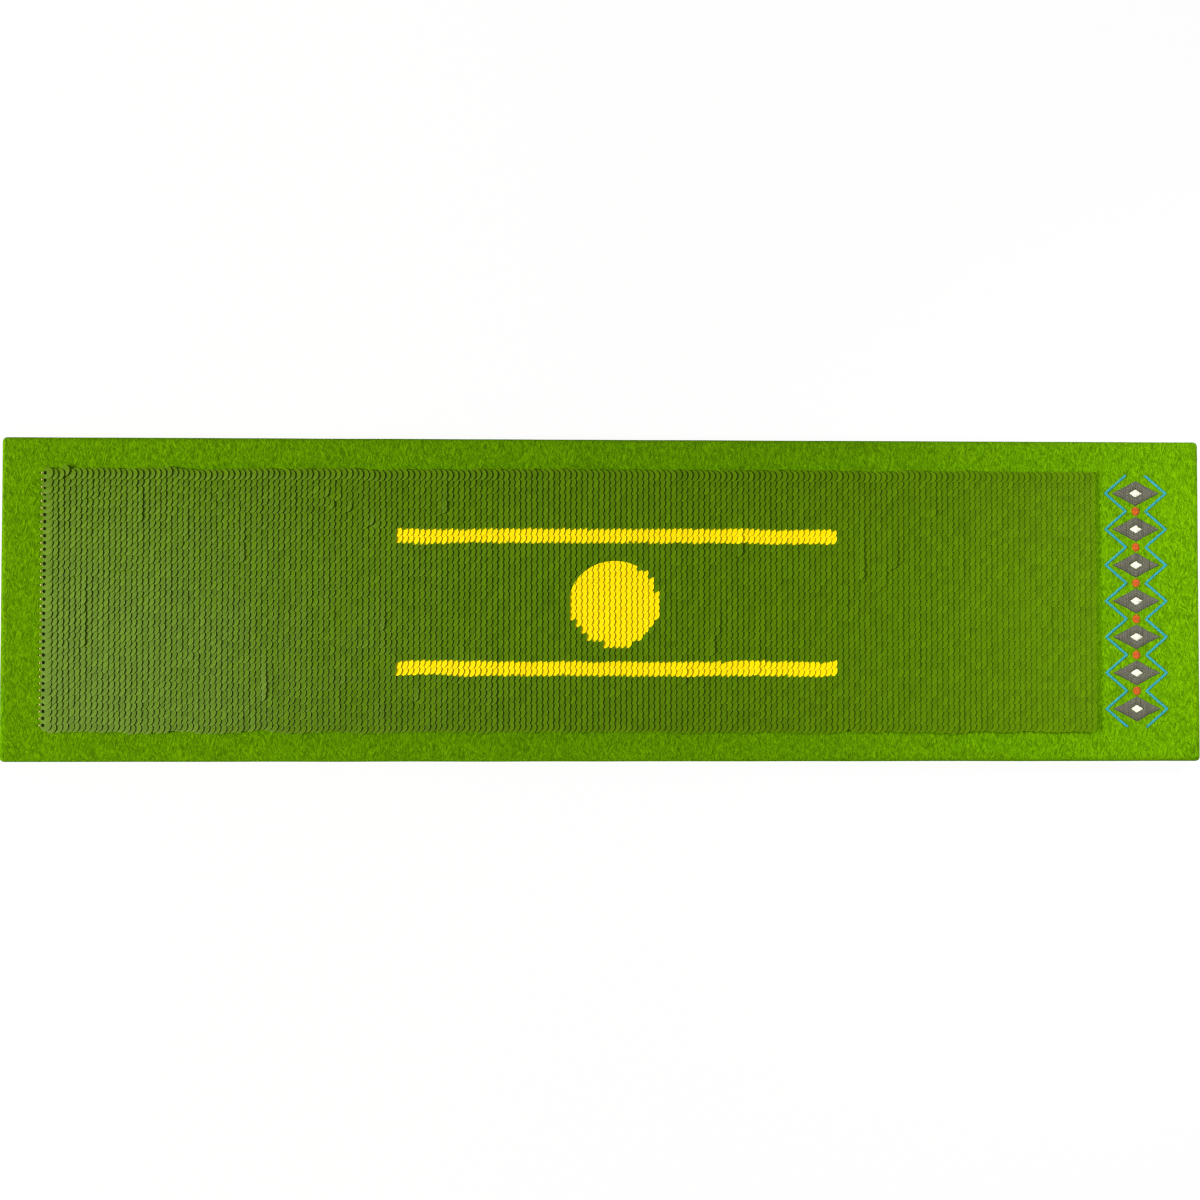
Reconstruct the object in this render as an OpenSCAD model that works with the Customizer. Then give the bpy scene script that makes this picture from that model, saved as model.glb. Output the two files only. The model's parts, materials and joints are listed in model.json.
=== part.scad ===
// Golf hitting mat with flip sequins
// A felt-covered board carries a field of round sequins, each sewn to the felt at one edge.
// A club that sweeps over the field turns the sequins about their stitches, which shows its path.
// Origin at the middle of the underside, X along the board, Y across it, Z up.

/* [Board] */
// Length of the covered board
board_l = 610; // [590:1:760]
// Width of the covered board
board_w = 164; // [160:1:260]
// Plan radius of the covered corners
corner_r = 4; // [3.5:0.1:8]
// Rounding of the felt along the top edges
top_edge_r = 2.6; // [1.8:0.1:4]
// Rounding of the felt along the bottom edges
bottom_edge_r = 1.6; // [1:0.1:3]

/* [Layers] */
// Thickness of the rubber grip sheet, which the board stands on
grip_t = 2.4; // [2:0.1:5]
// Plan radius of the grip sheet's corners
grip_corner_r = 6; // [1:0.5:15]
// Thickness of the stiff base plate
plate_t = 3; // [1.5:0.1:8]
// Thickness of the foam pad
foam_t = 8; // [4:0.5:20]
// Thickness of the felt
felt_t = 1.4; // [0.8:0.1:1.8]
// Width of the felt hem that is folded under the base plate
hem_w = 18; // [10:1:30]
// Gap between the hem and the grip sheet
hem_gap = 0.5; // [0.3:0.1:2]

/* [Sequins] */
// Diameter of one sequin
sequin_d = 5.9; // [5.2:0.1:6.4]
// Thickness of one sequin
sequin_t = 0.16; // [0.1:0.01:0.2]
// Diameter of the thread hole
hole_d = 1.5; // [1.3:0.1:1.8]
// Width of the margin between the thread hole and the rim
hole_margin = 0.5; // [0.4:0.02:0.6]
// Number of columns along the board
columns = 188; // [150:1:188]
// Distance between columns
column_pitch = 2.83; // [2.7:0.01:2.85]
// Number of rows across the board
rows = 37; // [15:2:37]
// Distance between rows
row_pitch = 3.54; // [3.4:0.01:3.6]
// Slope of a sequin at rest, with its free edge up
rest_tilt = 14; // [14:1:24]
// Gap between a sequin and the one that it lies on
lay_gap = 0.06; // [0.04:0.01:0.1]
// Bare felt between the left end of the board and the sequins
field_inset = 20.9; // [10:0.1:25]

/* [Flip zone] */
// First column that turns
flip_start = 81; // [10:1:110]
// Columns that stand at rising slopes where a turned zone ends
ramp_columns = 15; // [15:1:18]
// Columns that turn right over
turn_columns = 17; // [10:1:32]
// Share of its travel that the zone has turned
turn = 0; // [0:0.05:1]

/* [Stitching] */
// Thickness of the thread loop
thread_t = 0.16; // [0.12:0.01:0.2]
// Width of the thread loop, which is two strands side by side
stitch_w = 0.4; // [0.3:0.02:0.5]
// Play between the thread loop and the sequin's margin
loop_play = 0.05; // [0.04:0.01:0.08]
// Gap between the thread loop and the felt
loop_lift = 0.02; // [0.01:0.01:0.1]

/* [Embroidery] */
// Number of embroidered lozenges
lozenge_count = 7; // [3:1:7]
// Length of a lozenge across the board
lozenge_l = 13; // [8:0.5:14]
// Width of a lozenge along the board
lozenge_w = 24; // [14:0.5:25]
// Distance between lozenges
lozenge_pitch = 18.4; // [17:0.1:19]
// Distance from the right end of the board to the lozenge centres
band_inset = 33; // [24:0.5:34]
// Length of the pale lozenge in the middle of each lozenge
centre_l = 4; // [2:0.1:6]
// Width of the pale lozenge along the board
centre_w = 7; // [3:0.1:10]
// Width of the zigzag line on each side
line_w = 1.1; // [0.6:0.1:1.6]
// Distance from the middle of the band to the inner points of the zigzag
zigzag_in = 5; // [4:0.1:6]
// Distance from the middle of the band to the outer points of the zigzag
zigzag_out = 15.6; // [14:0.1:17]
// Height of the satin stitches over the felt
satin_h = 0.7; // [0.4:0.1:1.2]
// Diameter of the small dots between the lozenges
dot_d = 4.2; // [2:0.1:5]

/* [Hidden] */
$fn = 48;
felt_green = "#54820a";
sequin_green = "#5c7a20";
// Levels of the layers
hem_z = grip_t - felt_t;
plate_z = grip_t;
foam_z = plate_z + plate_t;
felt_z = foam_z + foam_t;
top_z = felt_z + felt_t;
// Roll that lets each row lie over the row below it
row_roll = asin((sequin_t + lay_gap) / row_pitch);
// The sequin's margin turns inside its loop, so the loop clears the margin's corners,
// where the hole curves away from the loop and the roll lifts one side
hole_curve = hole_d / 2 - sqrt(pow(hole_d / 2, 2) - pow(stitch_w / 2, 2));
roll_rise = stitch_w / 2 * tan(row_roll);
margin_reach = norm([hole_margin / 2 + hole_curve, sequin_t / 2 + roll_rise]);
loop_in_r = margin_reach + loop_play;
loop_out_r = loop_in_r + thread_t;
hinge_z = top_z + loop_lift + loop_out_r;
// Along the sequin, from the hinge line in the middle of the margin
rim_back = hole_margin / 2;
hole_at = hole_margin / 2 + hole_d / 2;
disc_at = sequin_d / 2 - rim_back;
// A strip of sequins starts just past the points where neighbours meet on the sewn side
strip_trim = 0.1;
strip_from = disc_at - sqrt(pow(sequin_d / 2, 2) - pow(row_pitch / 2, 2)) + strip_trim;
turn_travel = 180 - 2 * rest_tilt;
field_x = -board_l / 2 + field_inset + rim_back;
// Share by which the slopes of a ramp bunch at its two ends
ramp_ease = 0.5;
flip_columns = ramp_columns + turn_columns;
flip_end = flip_start + flip_columns - 1;
// The two columns whose sewn edge shows: at the left end and where a turned zone parts
edge_columns = [1, flip_end + 1];
cut = 1;

// Place of a column's hinge line along the board, and of a row across it
function column_x(column) = field_x + (column - 1) * column_pitch;
function row_y(row) = ((rows + 1) / 2 - row) * row_pitch;

// Slope that a column of the ramp ends at: neighbours near upright may differ most, those near flat least
function ramp_slope(step) =
    let (
        share = step / (ramp_columns + 1),
        eased = share - ramp_ease * sin(360 * share) / (2 * PI),
        lowest = tan(rest_tilt / 2)
    )
    2 * atan(lowest * pow(1 / (lowest * lowest), eased));

// Share of the full travel that a flipping column makes
function turn_share(step) =
    step > ramp_columns ? 1 : (ramp_slope(step) - rest_tilt) / turn_travel;

function flip_name(step) = str("sequin_column_", step < 10 ? "0" : "", step);

module rounded_plan(l, w, r) {
    square([l - 2 * r, w], center = true);
    square([l, w - 2 * r], center = true);
    for (x = [-1, 1], y = [-1, 1])
        translate([x * (l / 2 - r), y * (w / 2 - r)]) circle(r);
}

// Outline of a covered edge, standing on its own X axis
module edge_profile(l, h, top_r, bottom_r) {
    translate([-l / 2, bottom_r]) square([l, h - top_r - bottom_r]);
    translate([-l / 2 + top_r, h / 2]) square([l - 2 * top_r, h / 2]);
    translate([-l / 2 + bottom_r, 0]) square([l - 2 * bottom_r, h / 2]);
    for (side = [-1, 1]) {
        translate([side * (l / 2 - top_r), h - top_r]) circle(top_r);
        translate([side * (l / 2 - bottom_r), bottom_r]) circle(bottom_r);
    }
}

// A slab with rounded corners and softly rounded edges, as the overlap of its three outlines
module soft_slab(l, w, h, plan_r, top_r, bottom_r) {
    intersection() {
        linear_extrude(h) rounded_plan(l, w, plan_r);
        translate([0, w / 2, 0]) rotate([90, 0, 0]) linear_extrude(w) edge_profile(l, h, top_r, bottom_r);
        translate([-l / 2, 0, 0]) rotate([90, 0, 90]) linear_extrude(l) edge_profile(w, h, top_r, bottom_r);
    }
}

module grip_sheet() {
    inset = hem_w + hem_gap;
    color("#26282a") linear_extrude(grip_t)
        rounded_plan(board_l - 2 * inset, board_w - 2 * inset, grip_corner_r);
}

module core_layer(z, h) {
    translate([0, 0, z]) linear_extrude(h)
        rounded_plan(board_l - 2 * felt_t, board_w - 2 * felt_t, corner_r - felt_t);
}

module base_plate() {
    color("#c9ccce") core_layer(plate_z, plate_t);
}

module foam_pad() {
    color("#3a3d3a") core_layer(foam_z, foam_t);
}

module felt_cover() {
    color(felt_green) difference() {
        translate([0, 0, hem_z])
            soft_slab(board_l, board_w, top_z - hem_z, corner_r, top_edge_r, bottom_edge_r);
        core_layer(plate_z, plate_t + foam_t);
        translate([0, 0, hem_z - cut]) linear_extrude(felt_t + 2 * cut)
            rounded_plan(board_l - 2 * hem_w, board_w - 2 * hem_w, grip_corner_r);
    }
}

// One sequin with its hinge line on the Y axis
module sequin() {
    rotate([-row_roll, 0, 0]) translate([0, 0, -sequin_t / 2]) linear_extrude(sequin_t) difference() {
        translate([disc_at, 0]) circle(d = sequin_d);
        translate([hole_at, 0]) circle(d = hole_d);
    }
}

// A column of sequins at a slope
module sequin_column(column, slope = rest_tilt) {
    translate([column_x(column), 0, hinge_z]) rotate([0, -slope, 0])
        for (row = [1:rows]) translate([0, row_y(row), 0]) sequin();
}

// A column that stays put, as one strip with a scalloped free edge
module sequin_strip(column) {
    translate([column_x(column), 0, hinge_z]) rotate([0, -rest_tilt, 0])
        translate([0, 0, -sequin_t / 2]) linear_extrude(sequin_t) difference() {
            for (row = [1:rows]) translate([disc_at, row_y(row)]) circle(d = sequin_d);
            translate([strip_from - sequin_d, -board_w / 2]) square([sequin_d, board_w]);
        }
}

module sequins_left() {
    color(sequin_green) for (column = [2:flip_start - 1]) sequin_strip(column);
}

module sequins_right() {
    color(sequin_green) for (column = [flip_end + 2:columns]) sequin_strip(column);
}

module edge_sequins() {
    color(sequin_green) for (column = edge_columns) sequin_column(column);
}

// A thread loop that holds a sequin by its margin and lets it turn over
module stitch_loop() {
    rotate([90, 0, 0]) difference() {
        cylinder(r = loop_out_r, h = stitch_w, center = true);
        cylinder(r = loop_in_r, h = stitch_w + cut, center = true);
    }
}

module stitch_column(column) {
    color("#d8d2a8") for (row = [1:rows])
        translate([column_x(column), row_y(row), hinge_z]) stitch_loop();
}

module edge_stitches() {
    for (column = edge_columns) stitch_column(column);
}

module flip_stitches() {
    for (column = [flip_start:flip_end]) stitch_column(column);
}

module flip_column(step) {
    slope = rest_tilt + turn * turn_share(step) * turn_travel;
    color(sequin_green) sequin_column(flip_start + step - 1, slope);
}

// Embroidered band at the right end: a row of lozenges between two zigzag lines
function lozenge_y(index) = (index - (lozenge_count + 1) / 2) * lozenge_pitch;

module on_band() {
    translate([board_l / 2 - band_inset, 0, top_z]) linear_extrude(satin_h) children();
}

module lozenge(l, w) {
    polygon([[-w / 2, 0], [0, -l / 2], [w / 2, 0], [0, l / 2]]);
}

module embroidered_lozenges() {
    color("#33363a") on_band() for (index = [1:lozenge_count])
        translate([0, lozenge_y(index)]) difference() {
            lozenge(lozenge_l, lozenge_w);
            lozenge(centre_l, centre_w);
        }
}

module embroidered_centres() {
    color("#e9e6d8") on_band() for (index = [1:lozenge_count])
        translate([0, lozenge_y(index)]) lozenge(centre_l, centre_w);
}

module embroidered_dots() {
    color("#e8762c") on_band() for (index = [1:lozenge_count - 1])
        translate([0, lozenge_y(index) + lozenge_pitch / 2]) circle(d = dot_d);
}

// A straight line of stitches with round ends
module stitch_line(from, to) {
    run = to - from;
    translate(from) rotate(atan2(run[1], run[0])) {
        translate([0, -line_w / 2]) square([norm(run), line_w]);
        circle(d = line_w);
        translate([norm(run), 0]) circle(d = line_w);
    }
}

module embroidered_zigzags() {
    color("#1f8a86") on_band() for (side = [-1, 1], index = [1:lozenge_count], way = [-1, 1])
        stitch_line(
            [side * zigzag_out, lozenge_y(index)],
            [side * zigzag_in, lozenge_y(index) + way * lozenge_pitch / 2]
        );
}

grip_sheet();
base_plate();
foam_pad();
felt_cover();
sequins_left();
sequins_right();
edge_sequins();
edge_stitches();
flip_stitches();
embroidered_lozenges();
embroidered_centres();
embroidered_zigzags();
embroidered_dots();
for (step = [1:flip_columns])
    flip_column(step);
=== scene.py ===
"""Looks of a golf hitting mat with flip sequins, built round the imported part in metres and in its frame.

Sizes in the classes are in millimetres and angles in degrees, unless a class says otherwise.
"""

import json
import logging
import math
from collections.abc import Iterable
from dataclasses import dataclass
from enum import Enum, IntEnum

import bmesh
import bpy
import numpy as np
from bpy.types import ID, Material, Mesh, Node, NodeSocket, NodeTree, Object
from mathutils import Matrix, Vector, noise


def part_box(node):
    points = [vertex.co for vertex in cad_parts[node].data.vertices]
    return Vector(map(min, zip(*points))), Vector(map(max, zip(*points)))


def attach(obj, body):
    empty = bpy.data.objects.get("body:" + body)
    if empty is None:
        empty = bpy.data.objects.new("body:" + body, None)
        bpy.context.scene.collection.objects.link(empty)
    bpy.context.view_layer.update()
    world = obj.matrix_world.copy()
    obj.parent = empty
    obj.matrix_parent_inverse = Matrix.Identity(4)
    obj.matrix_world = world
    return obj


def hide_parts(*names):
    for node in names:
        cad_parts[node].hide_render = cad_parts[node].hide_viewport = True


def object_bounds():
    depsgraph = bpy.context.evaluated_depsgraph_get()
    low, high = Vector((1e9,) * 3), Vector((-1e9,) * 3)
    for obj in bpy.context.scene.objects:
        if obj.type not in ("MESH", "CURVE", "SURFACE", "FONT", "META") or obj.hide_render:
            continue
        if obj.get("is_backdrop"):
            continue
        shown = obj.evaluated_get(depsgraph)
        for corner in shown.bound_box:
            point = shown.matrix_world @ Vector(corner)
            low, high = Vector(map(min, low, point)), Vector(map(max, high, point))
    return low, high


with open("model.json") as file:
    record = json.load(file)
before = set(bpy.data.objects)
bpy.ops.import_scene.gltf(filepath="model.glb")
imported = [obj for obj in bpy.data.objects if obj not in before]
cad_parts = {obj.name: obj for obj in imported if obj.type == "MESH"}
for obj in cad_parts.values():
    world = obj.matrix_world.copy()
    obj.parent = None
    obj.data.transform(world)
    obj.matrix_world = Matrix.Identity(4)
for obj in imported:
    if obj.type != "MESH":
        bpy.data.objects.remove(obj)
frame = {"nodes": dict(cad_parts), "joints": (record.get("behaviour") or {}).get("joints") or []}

LOG = logging.getLogger("mat")
MM = 0.001
SEED = 20
MAIN_BODY = "mat"
# What a sequin's print mark says: printed all over, or only inside the curve of the spot
PRINTED_WHOLE = 1.0
PRINTED_CUT = 0.5
# Length of one wave of the wave texture at a scale of 1
WAVE_LENGTH = 0.314
# Number of the Mix node's colour output
MIX_COLOUR = 2


class Side(IntEnum):
    """Material slots of a sequin."""

    FRONT = 0
    EDGE = 1
    REVERSE = 2


class Hole(Enum):
    """Whether a sequin's thread hole is open, or hidden under its neighbours and left out."""

    OPEN = "open"
    HIDDEN = "hidden"


class Run(Enum):
    """Way that the threads of an embroidered patch run."""

    ACROSS = "across"
    ALONG = "along"


class Mix(IntEnum):
    """Numbers of the Mix node's inputs, where those for values and for colours share their names."""

    SHARE = 0
    VALUE_A = 2
    VALUE_B = 3
    COLOUR_A = 6
    COLOUR_B = 7


def linear(hex_colour: str) -> tuple[float, float, float, float]:
    """Turns an sRGB hex colour to linear.

    Args:
        hex_colour: The colour as #rrggbb.

    Returns:
        Linear red, green and blue, with alpha 1.
    """
    shares = [int(hex_colour[at:at + 2], 16) / 255 for at in (1, 3, 5)]
    red, green, blue = [s / 12.92 if s <= 0.04045 else ((s + 0.055) / 1.055) ** 2.4 for s in shares]
    return red, green, blue, 1.0


def feed(tree: NodeTree, node: Node, inputs: dict[str | int, object]) -> None:
    """Sets or links the inputs of a node.

    Args:
        tree: The node tree that holds the node.
        node: The node.
        inputs: Values of its inputs, by name or number. An output socket is linked instead.
    """
    for name, value in inputs.items():
        if isinstance(value, NodeSocket):
            tree.links.new(value, node.inputs[name])
        else:
            node.inputs[name].default_value = value


def add_node(
    tree: NodeTree,
    kind: str,
    settings: dict[str, object] | None = None,
    inputs: dict[str | int, object] | None = None,
) -> Node:
    """Adds a node with its settings and links.

    Args:
        tree: The node tree that takes the node.
        kind: Blender's name of the node type.
        settings: Properties of the node, by name.
        inputs: Values of its inputs, by name or number. An output socket is linked instead.

    Returns:
        The new node.
    """
    node = tree.nodes.new(kind)
    for name, value in (settings or {}).items():
        setattr(node, name, value)
    feed(tree, node, inputs or {})
    return node


def new_material(name: str) -> tuple[Material, NodeTree, Node]:
    """Starts a material.

    Args:
        name: Its name.

    Returns:
        The material, its node tree and its Principled node.
    """
    material = bpy.data.materials.new(name)
    material.use_nodes = True
    tree = material.node_tree
    return material, tree, tree.nodes["Principled BSDF"]


@dataclass(frozen=True)
class FeltFinish:
    """Needled felt: short dyed fibres, pressed and brushed to a matt face with fine curled streaks."""

    name: str = "needled_green_felt"
    shade: str = "#426a00"
    body: str = "#548500"
    tip: str = "#6b9e00"
    tones: tuple[float, float, float] = (0.4, 0.5, 0.6)
    fibre_w: float = 0.75
    fibre_l: float = 3.0
    fibre_lays: tuple[float, ...] = (14, 40, -14)
    fibre_curl: float = 0.6
    patch: float = 5.0
    patch_edge: tuple[float, float] = (0.42, 0.58)
    patch_draw: float = 3.0
    fuzz: float = 0.35
    fuzz_share: float = 0.3
    cloud: float = 28.0
    cloud_share: float = 0.05
    roughness: float = 0.95
    shine: float = 0.03
    relief: float = 0.5
    bump: float = 0.9

    def material(self) -> Material:
        """Makes the material.

        Returns:
            The material.
        """
        material, tree, surface = new_material(self.name)
        place = add_node(tree, "ShaderNodeTexCoord").outputs["Object"]
        # Fibres lie in small patches, each with its own lay, so streaks of three directions are blended
        layers = []
        for degrees in self.fibre_lays:
            turned = add_node(tree, "ShaderNodeMapping", {"vector_type": "TEXTURE"}, {
                "Vector": place, "Rotation": (0, 0, math.radians(degrees)),
                "Scale": (self.fibre_w * MM, self.fibre_l * MM, self.fibre_w * MM)})
            layers.append(add_node(tree, "ShaderNodeTexNoise", inputs={
                "Vector": turned.outputs["Vector"], "Scale": 1.0, "Detail": 2.0,
                "Distortion": self.fibre_curl}).outputs["Fac"])
        mixed = layers[0]
        for number, layer in enumerate(layers[1:]):
            where = add_node(tree, "ShaderNodeTexNoise", {"noise_dimensions": "4D"}, {
                "Vector": place, "W": self.patch_draw + number,
                "Scale": 1 / (self.patch * MM), "Detail": 1.0})
            steep = add_node(tree, "ShaderNodeMapRange", inputs={
                "Value": where.outputs["Fac"],
                "From Min": self.patch_edge[0], "From Max": self.patch_edge[1]})
            mixed = add_node(tree, "ShaderNodeMix", inputs={
                Mix.SHARE: steep.outputs["Result"], Mix.VALUE_A: mixed, Mix.VALUE_B: layer}).outputs[0]
        heights = [mixed]
        for size, share, detail in ((self.fuzz, self.fuzz_share, 1.0), (self.cloud, self.cloud_share, 3.0)):
            grain = add_node(tree, "ShaderNodeTexNoise", inputs={
                "Vector": place, "Scale": 1 / (size * MM), "Detail": detail})
            heights.append(add_node(tree, "ShaderNodeMix", inputs={
                Mix.SHARE: share, Mix.VALUE_A: heights[-1],
                Mix.VALUE_B: grain.outputs["Fac"]}).outputs[0])
        pile, tone = heights[1:]
        colour = linear(self.shade)
        for low, high, ink in zip(self.tones, self.tones[1:], (self.body, self.tip)):
            step = add_node(tree, "ShaderNodeMapRange", inputs={
                "Value": tone, "From Min": low, "From Max": high})
            colour = add_node(tree, "ShaderNodeMix", {"data_type": "RGBA"}, {
                Mix.SHARE: step.outputs["Result"], Mix.COLOUR_A: colour,
                Mix.COLOUR_B: linear(ink)}).outputs[MIX_COLOUR]
        bump = add_node(tree, "ShaderNodeBump", inputs={
            "Strength": self.bump, "Distance": self.relief * MM, "Height": pile})
        feed(tree, surface, {
            "Base Color": colour, "Normal": bump.outputs["Normal"],
            "Roughness": self.roughness, "Specular IOR Level": self.shine})
        return material


@dataclass(frozen=True)
class SequinFinish:
    """Punched polyester film: a printed satin front, a pale cut edge and a plain paler reverse."""

    name: str = "sequin_film"
    green_deep: str = "#486a00"
    green: str = "#547900"
    green_rim: str = "#6c8a10"
    # Share of the green rim colour on the front's bead, partly a painted highlight along the rim
    green_bead_highlight: float = 0.35
    yellow_deep: str = "#f4d500"
    yellow: str = "#f9df00"
    yellow_rim: str = "#fbea28"
    # Share of the yellow rim colour on the front's bead, partly a painted highlight along the rim
    yellow_bead_highlight: float = 0.5
    yellow_through: str = "#f2e04a"
    reverse_deep: str = "#7f9f2c"
    reverse: str = "#93b43c"
    roughness: float = 0.26
    roughness_play: float = 0.08
    reverse_roughness: float = 0.3
    reverse_play: float = 0.06
    shine: float = 0.09
    ior: float = 1.5
    mottle: float = 1.4
    spot_place: tuple[float, float] = (4.6, -1.78)
    spot_reach: tuple[float, float] = (23.4, 21.6)
    curve_low: float = 0.22
    curve_right: float = 0.5

    def printed(self, tree: NodeTree) -> NodeSocket:
        """Adds the mask of the yellow print.

        Args:
            tree: The material's node tree.

        Returns:
            A socket that is 1 where a sequin is yellow.
        """
        share = add_node(tree, "ShaderNodeAttribute", {"attribute_name": "printed"}).outputs["Fac"]
        # The print of the spot ends in a clean curve at its upper left, across the sequins there
        place = add_node(tree, "ShaderNodeTexCoord").outputs["Object"]
        away = add_node(tree, "ShaderNodeMapping", {"vector_type": "TEXTURE"}, {
            "Vector": place, "Location": (self.spot_place[0] * MM, self.spot_place[1] * MM, 0),
            "Scale": (self.spot_reach[0] * MM, self.spot_reach[1] * MM, 1)}).outputs["Vector"]
        flat = add_node(tree, "ShaderNodeSeparateXYZ", inputs={"Vector": away})
        reach = add_node(tree, "ShaderNodeVectorMath", {"operation": "LENGTH"}, {0: away}).outputs["Value"]
        tests = (
            ("GREATER_THAN", share, PRINTED_CUT / 2),
            ("LESS_THAN", reach, 1.0),
            ("LESS_THAN", flat.outputs["Y"], self.curve_low),
            ("GREATER_THAN", flat.outputs["X"], self.curve_right),
            ("GREATER_THAN", share, (PRINTED_CUT + PRINTED_WHOLE) / 2),
        )
        some, kept, *others = [
            add_node(tree, "ShaderNodeMath", {"operation": operation}, {0: value, 1: limit}).outputs[0]
            for operation, value, limit in tests
        ]
        for other in others:
            kept = add_node(tree, "ShaderNodeMath", {"operation": "MAXIMUM"}, {0: kept, 1: other}).outputs[0]
        return add_node(tree, "ShaderNodeMath", {"operation": "MULTIPLY"}, {0: some, 1: kept}).outputs[0]

    def toned(self, tree: NodeTree, deep: str, plain: str) -> NodeSocket:
        """Adds a colour that differs a little from sequin to sequin.

        Args:
            tree: The material's node tree.
            deep: The darker colour.
            plain: The lighter colour.

        Returns:
            The colour's socket.
        """
        tone = add_node(tree, "ShaderNodeAttribute", {"attribute_name": "tone"}).outputs["Fac"]
        mixed = add_node(tree, "ShaderNodeMix", {"data_type": "RGBA"}, {
            Mix.SHARE: tone, Mix.COLOUR_A: linear(deep), Mix.COLOUR_B: linear(plain)})
        return mixed.outputs[MIX_COLOUR]

    def satin(self, tree: NodeTree, roughness: float, play: float) -> NodeSocket:
        """Adds a slightly mottled roughness, as lacquer has.

        Args:
            tree: The material's node tree.
            roughness: Its middle value.
            play: How far it goes above and below that.

        Returns:
            The roughness's socket.
        """
        place = add_node(tree, "ShaderNodeTexCoord").outputs["Object"]
        mottle = add_node(tree, "ShaderNodeTexNoise", inputs={
            "Vector": place, "Scale": 1 / (self.mottle * MM), "Detail": 2.0}).outputs["Fac"]
        return add_node(tree, "ShaderNodeMapRange", inputs={
            "Value": mottle, "To Min": roughness - play, "To Max": roughness + play}).outputs["Result"]

    def front(self) -> Material:
        """Makes the printed front, satin from its lacquer, with a paler bead along the rim, partly the film's
        pale edge and partly a painted highlight.

        Returns:
            The material.
        """
        material, tree, surface = new_material(f"{self.name}_front")
        rim = add_node(tree, "ShaderNodeAttribute", {"attribute_name": "rim"}).outputs["Fac"]
        inks = []
        for deep, plain, edge, bead in (
            (self.green_deep, self.green, self.green_rim, self.green_bead_highlight),
            (self.yellow_deep, self.yellow, self.yellow_rim, self.yellow_bead_highlight),
        ):
            # The bead is mixed towards the rim colour, partly the film's paler edge and partly a painted
            # highlight along the rim
            some = add_node(tree, "ShaderNodeMath", {"operation": "MULTIPLY"}, {0: rim, 1: bead}).outputs[0]
            inks.append(add_node(tree, "ShaderNodeMix", {"data_type": "RGBA"}, {
                Mix.SHARE: some, Mix.COLOUR_A: self.toned(tree, deep, plain),
                Mix.COLOUR_B: linear(edge)}).outputs[MIX_COLOUR])
        colour = add_node(tree, "ShaderNodeMix", {"data_type": "RGBA"}, {
            Mix.SHARE: self.printed(tree), Mix.COLOUR_A: inks[0], Mix.COLOUR_B: inks[1]})
        feed(tree, surface, {
            "Base Color": colour.outputs[MIX_COLOUR],
            "Roughness": self.satin(tree, self.roughness, self.roughness_play),
            "IOR": self.ior, "Specular IOR Level": self.shine})
        return material

    def edge(self) -> Material:
        """Makes the cut edge, where the clear film shows pale under the print.

        Returns:
            The material.
        """
        material, tree, surface = new_material(f"{self.name}_edge")
        colour = add_node(tree, "ShaderNodeMix", {"data_type": "RGBA"}, {
            Mix.SHARE: self.printed(tree),
            Mix.COLOUR_A: linear(self.green_rim), Mix.COLOUR_B: linear(self.yellow_rim)})
        feed(tree, surface, {
            "Base Color": colour.outputs[MIX_COLOUR], "Roughness": self.roughness,
            "IOR": self.ior, "Specular IOR Level": self.shine})
        return material

    def back(self) -> Material:
        """Makes the reverse, the same film in one paler green, through which the yellow print shows.

        Returns:
            The material.
        """
        material, tree, surface = new_material(f"{self.name}_reverse")
        colour = add_node(tree, "ShaderNodeMix", {"data_type": "RGBA"}, {
            Mix.SHARE: self.printed(tree),
            Mix.COLOUR_A: self.toned(tree, self.reverse_deep, self.reverse),
            Mix.COLOUR_B: linear(self.yellow_through)})
        feed(tree, surface, {
            "Base Color": colour.outputs[MIX_COLOUR],
            "Roughness": self.satin(tree, self.reverse_roughness, self.reverse_play), "IOR": self.ior})
        return material

    def materials(self) -> list[Material]:
        """Returns the materials in the order of the slots of a sequin."""
        return [self.front(), self.edge(), self.back()]


@dataclass(frozen=True)
class TwoToneFinish:
    """What the plainer finishes share: two tones of one colour, a roughness and a fine relief."""

    name: str
    shade: str
    body: str
    roughness: float
    relief: float
    bump: float = 1.0

    def dress(self, tree: NodeTree, surface: Node, share: NodeSocket, height: NodeSocket) -> None:
        """Gives a surface its tones, its roughness and its relief.

        Args:
            tree: The material's node tree.
            surface: Its Principled node.
            share: How much of the lighter tone there is.
            height: The relief's height.
        """
        colour = add_node(tree, "ShaderNodeMix", {"data_type": "RGBA"}, {
            Mix.SHARE: share, Mix.COLOUR_A: linear(self.shade), Mix.COLOUR_B: linear(self.body)})
        bump = add_node(tree, "ShaderNodeBump", inputs={
            "Strength": self.bump, "Distance": self.relief * MM, "Height": height})
        feed(tree, surface, {
            "Base Color": colour.outputs[MIX_COLOUR], "Normal": bump.outputs["Normal"],
            "Roughness": self.roughness})


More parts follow.
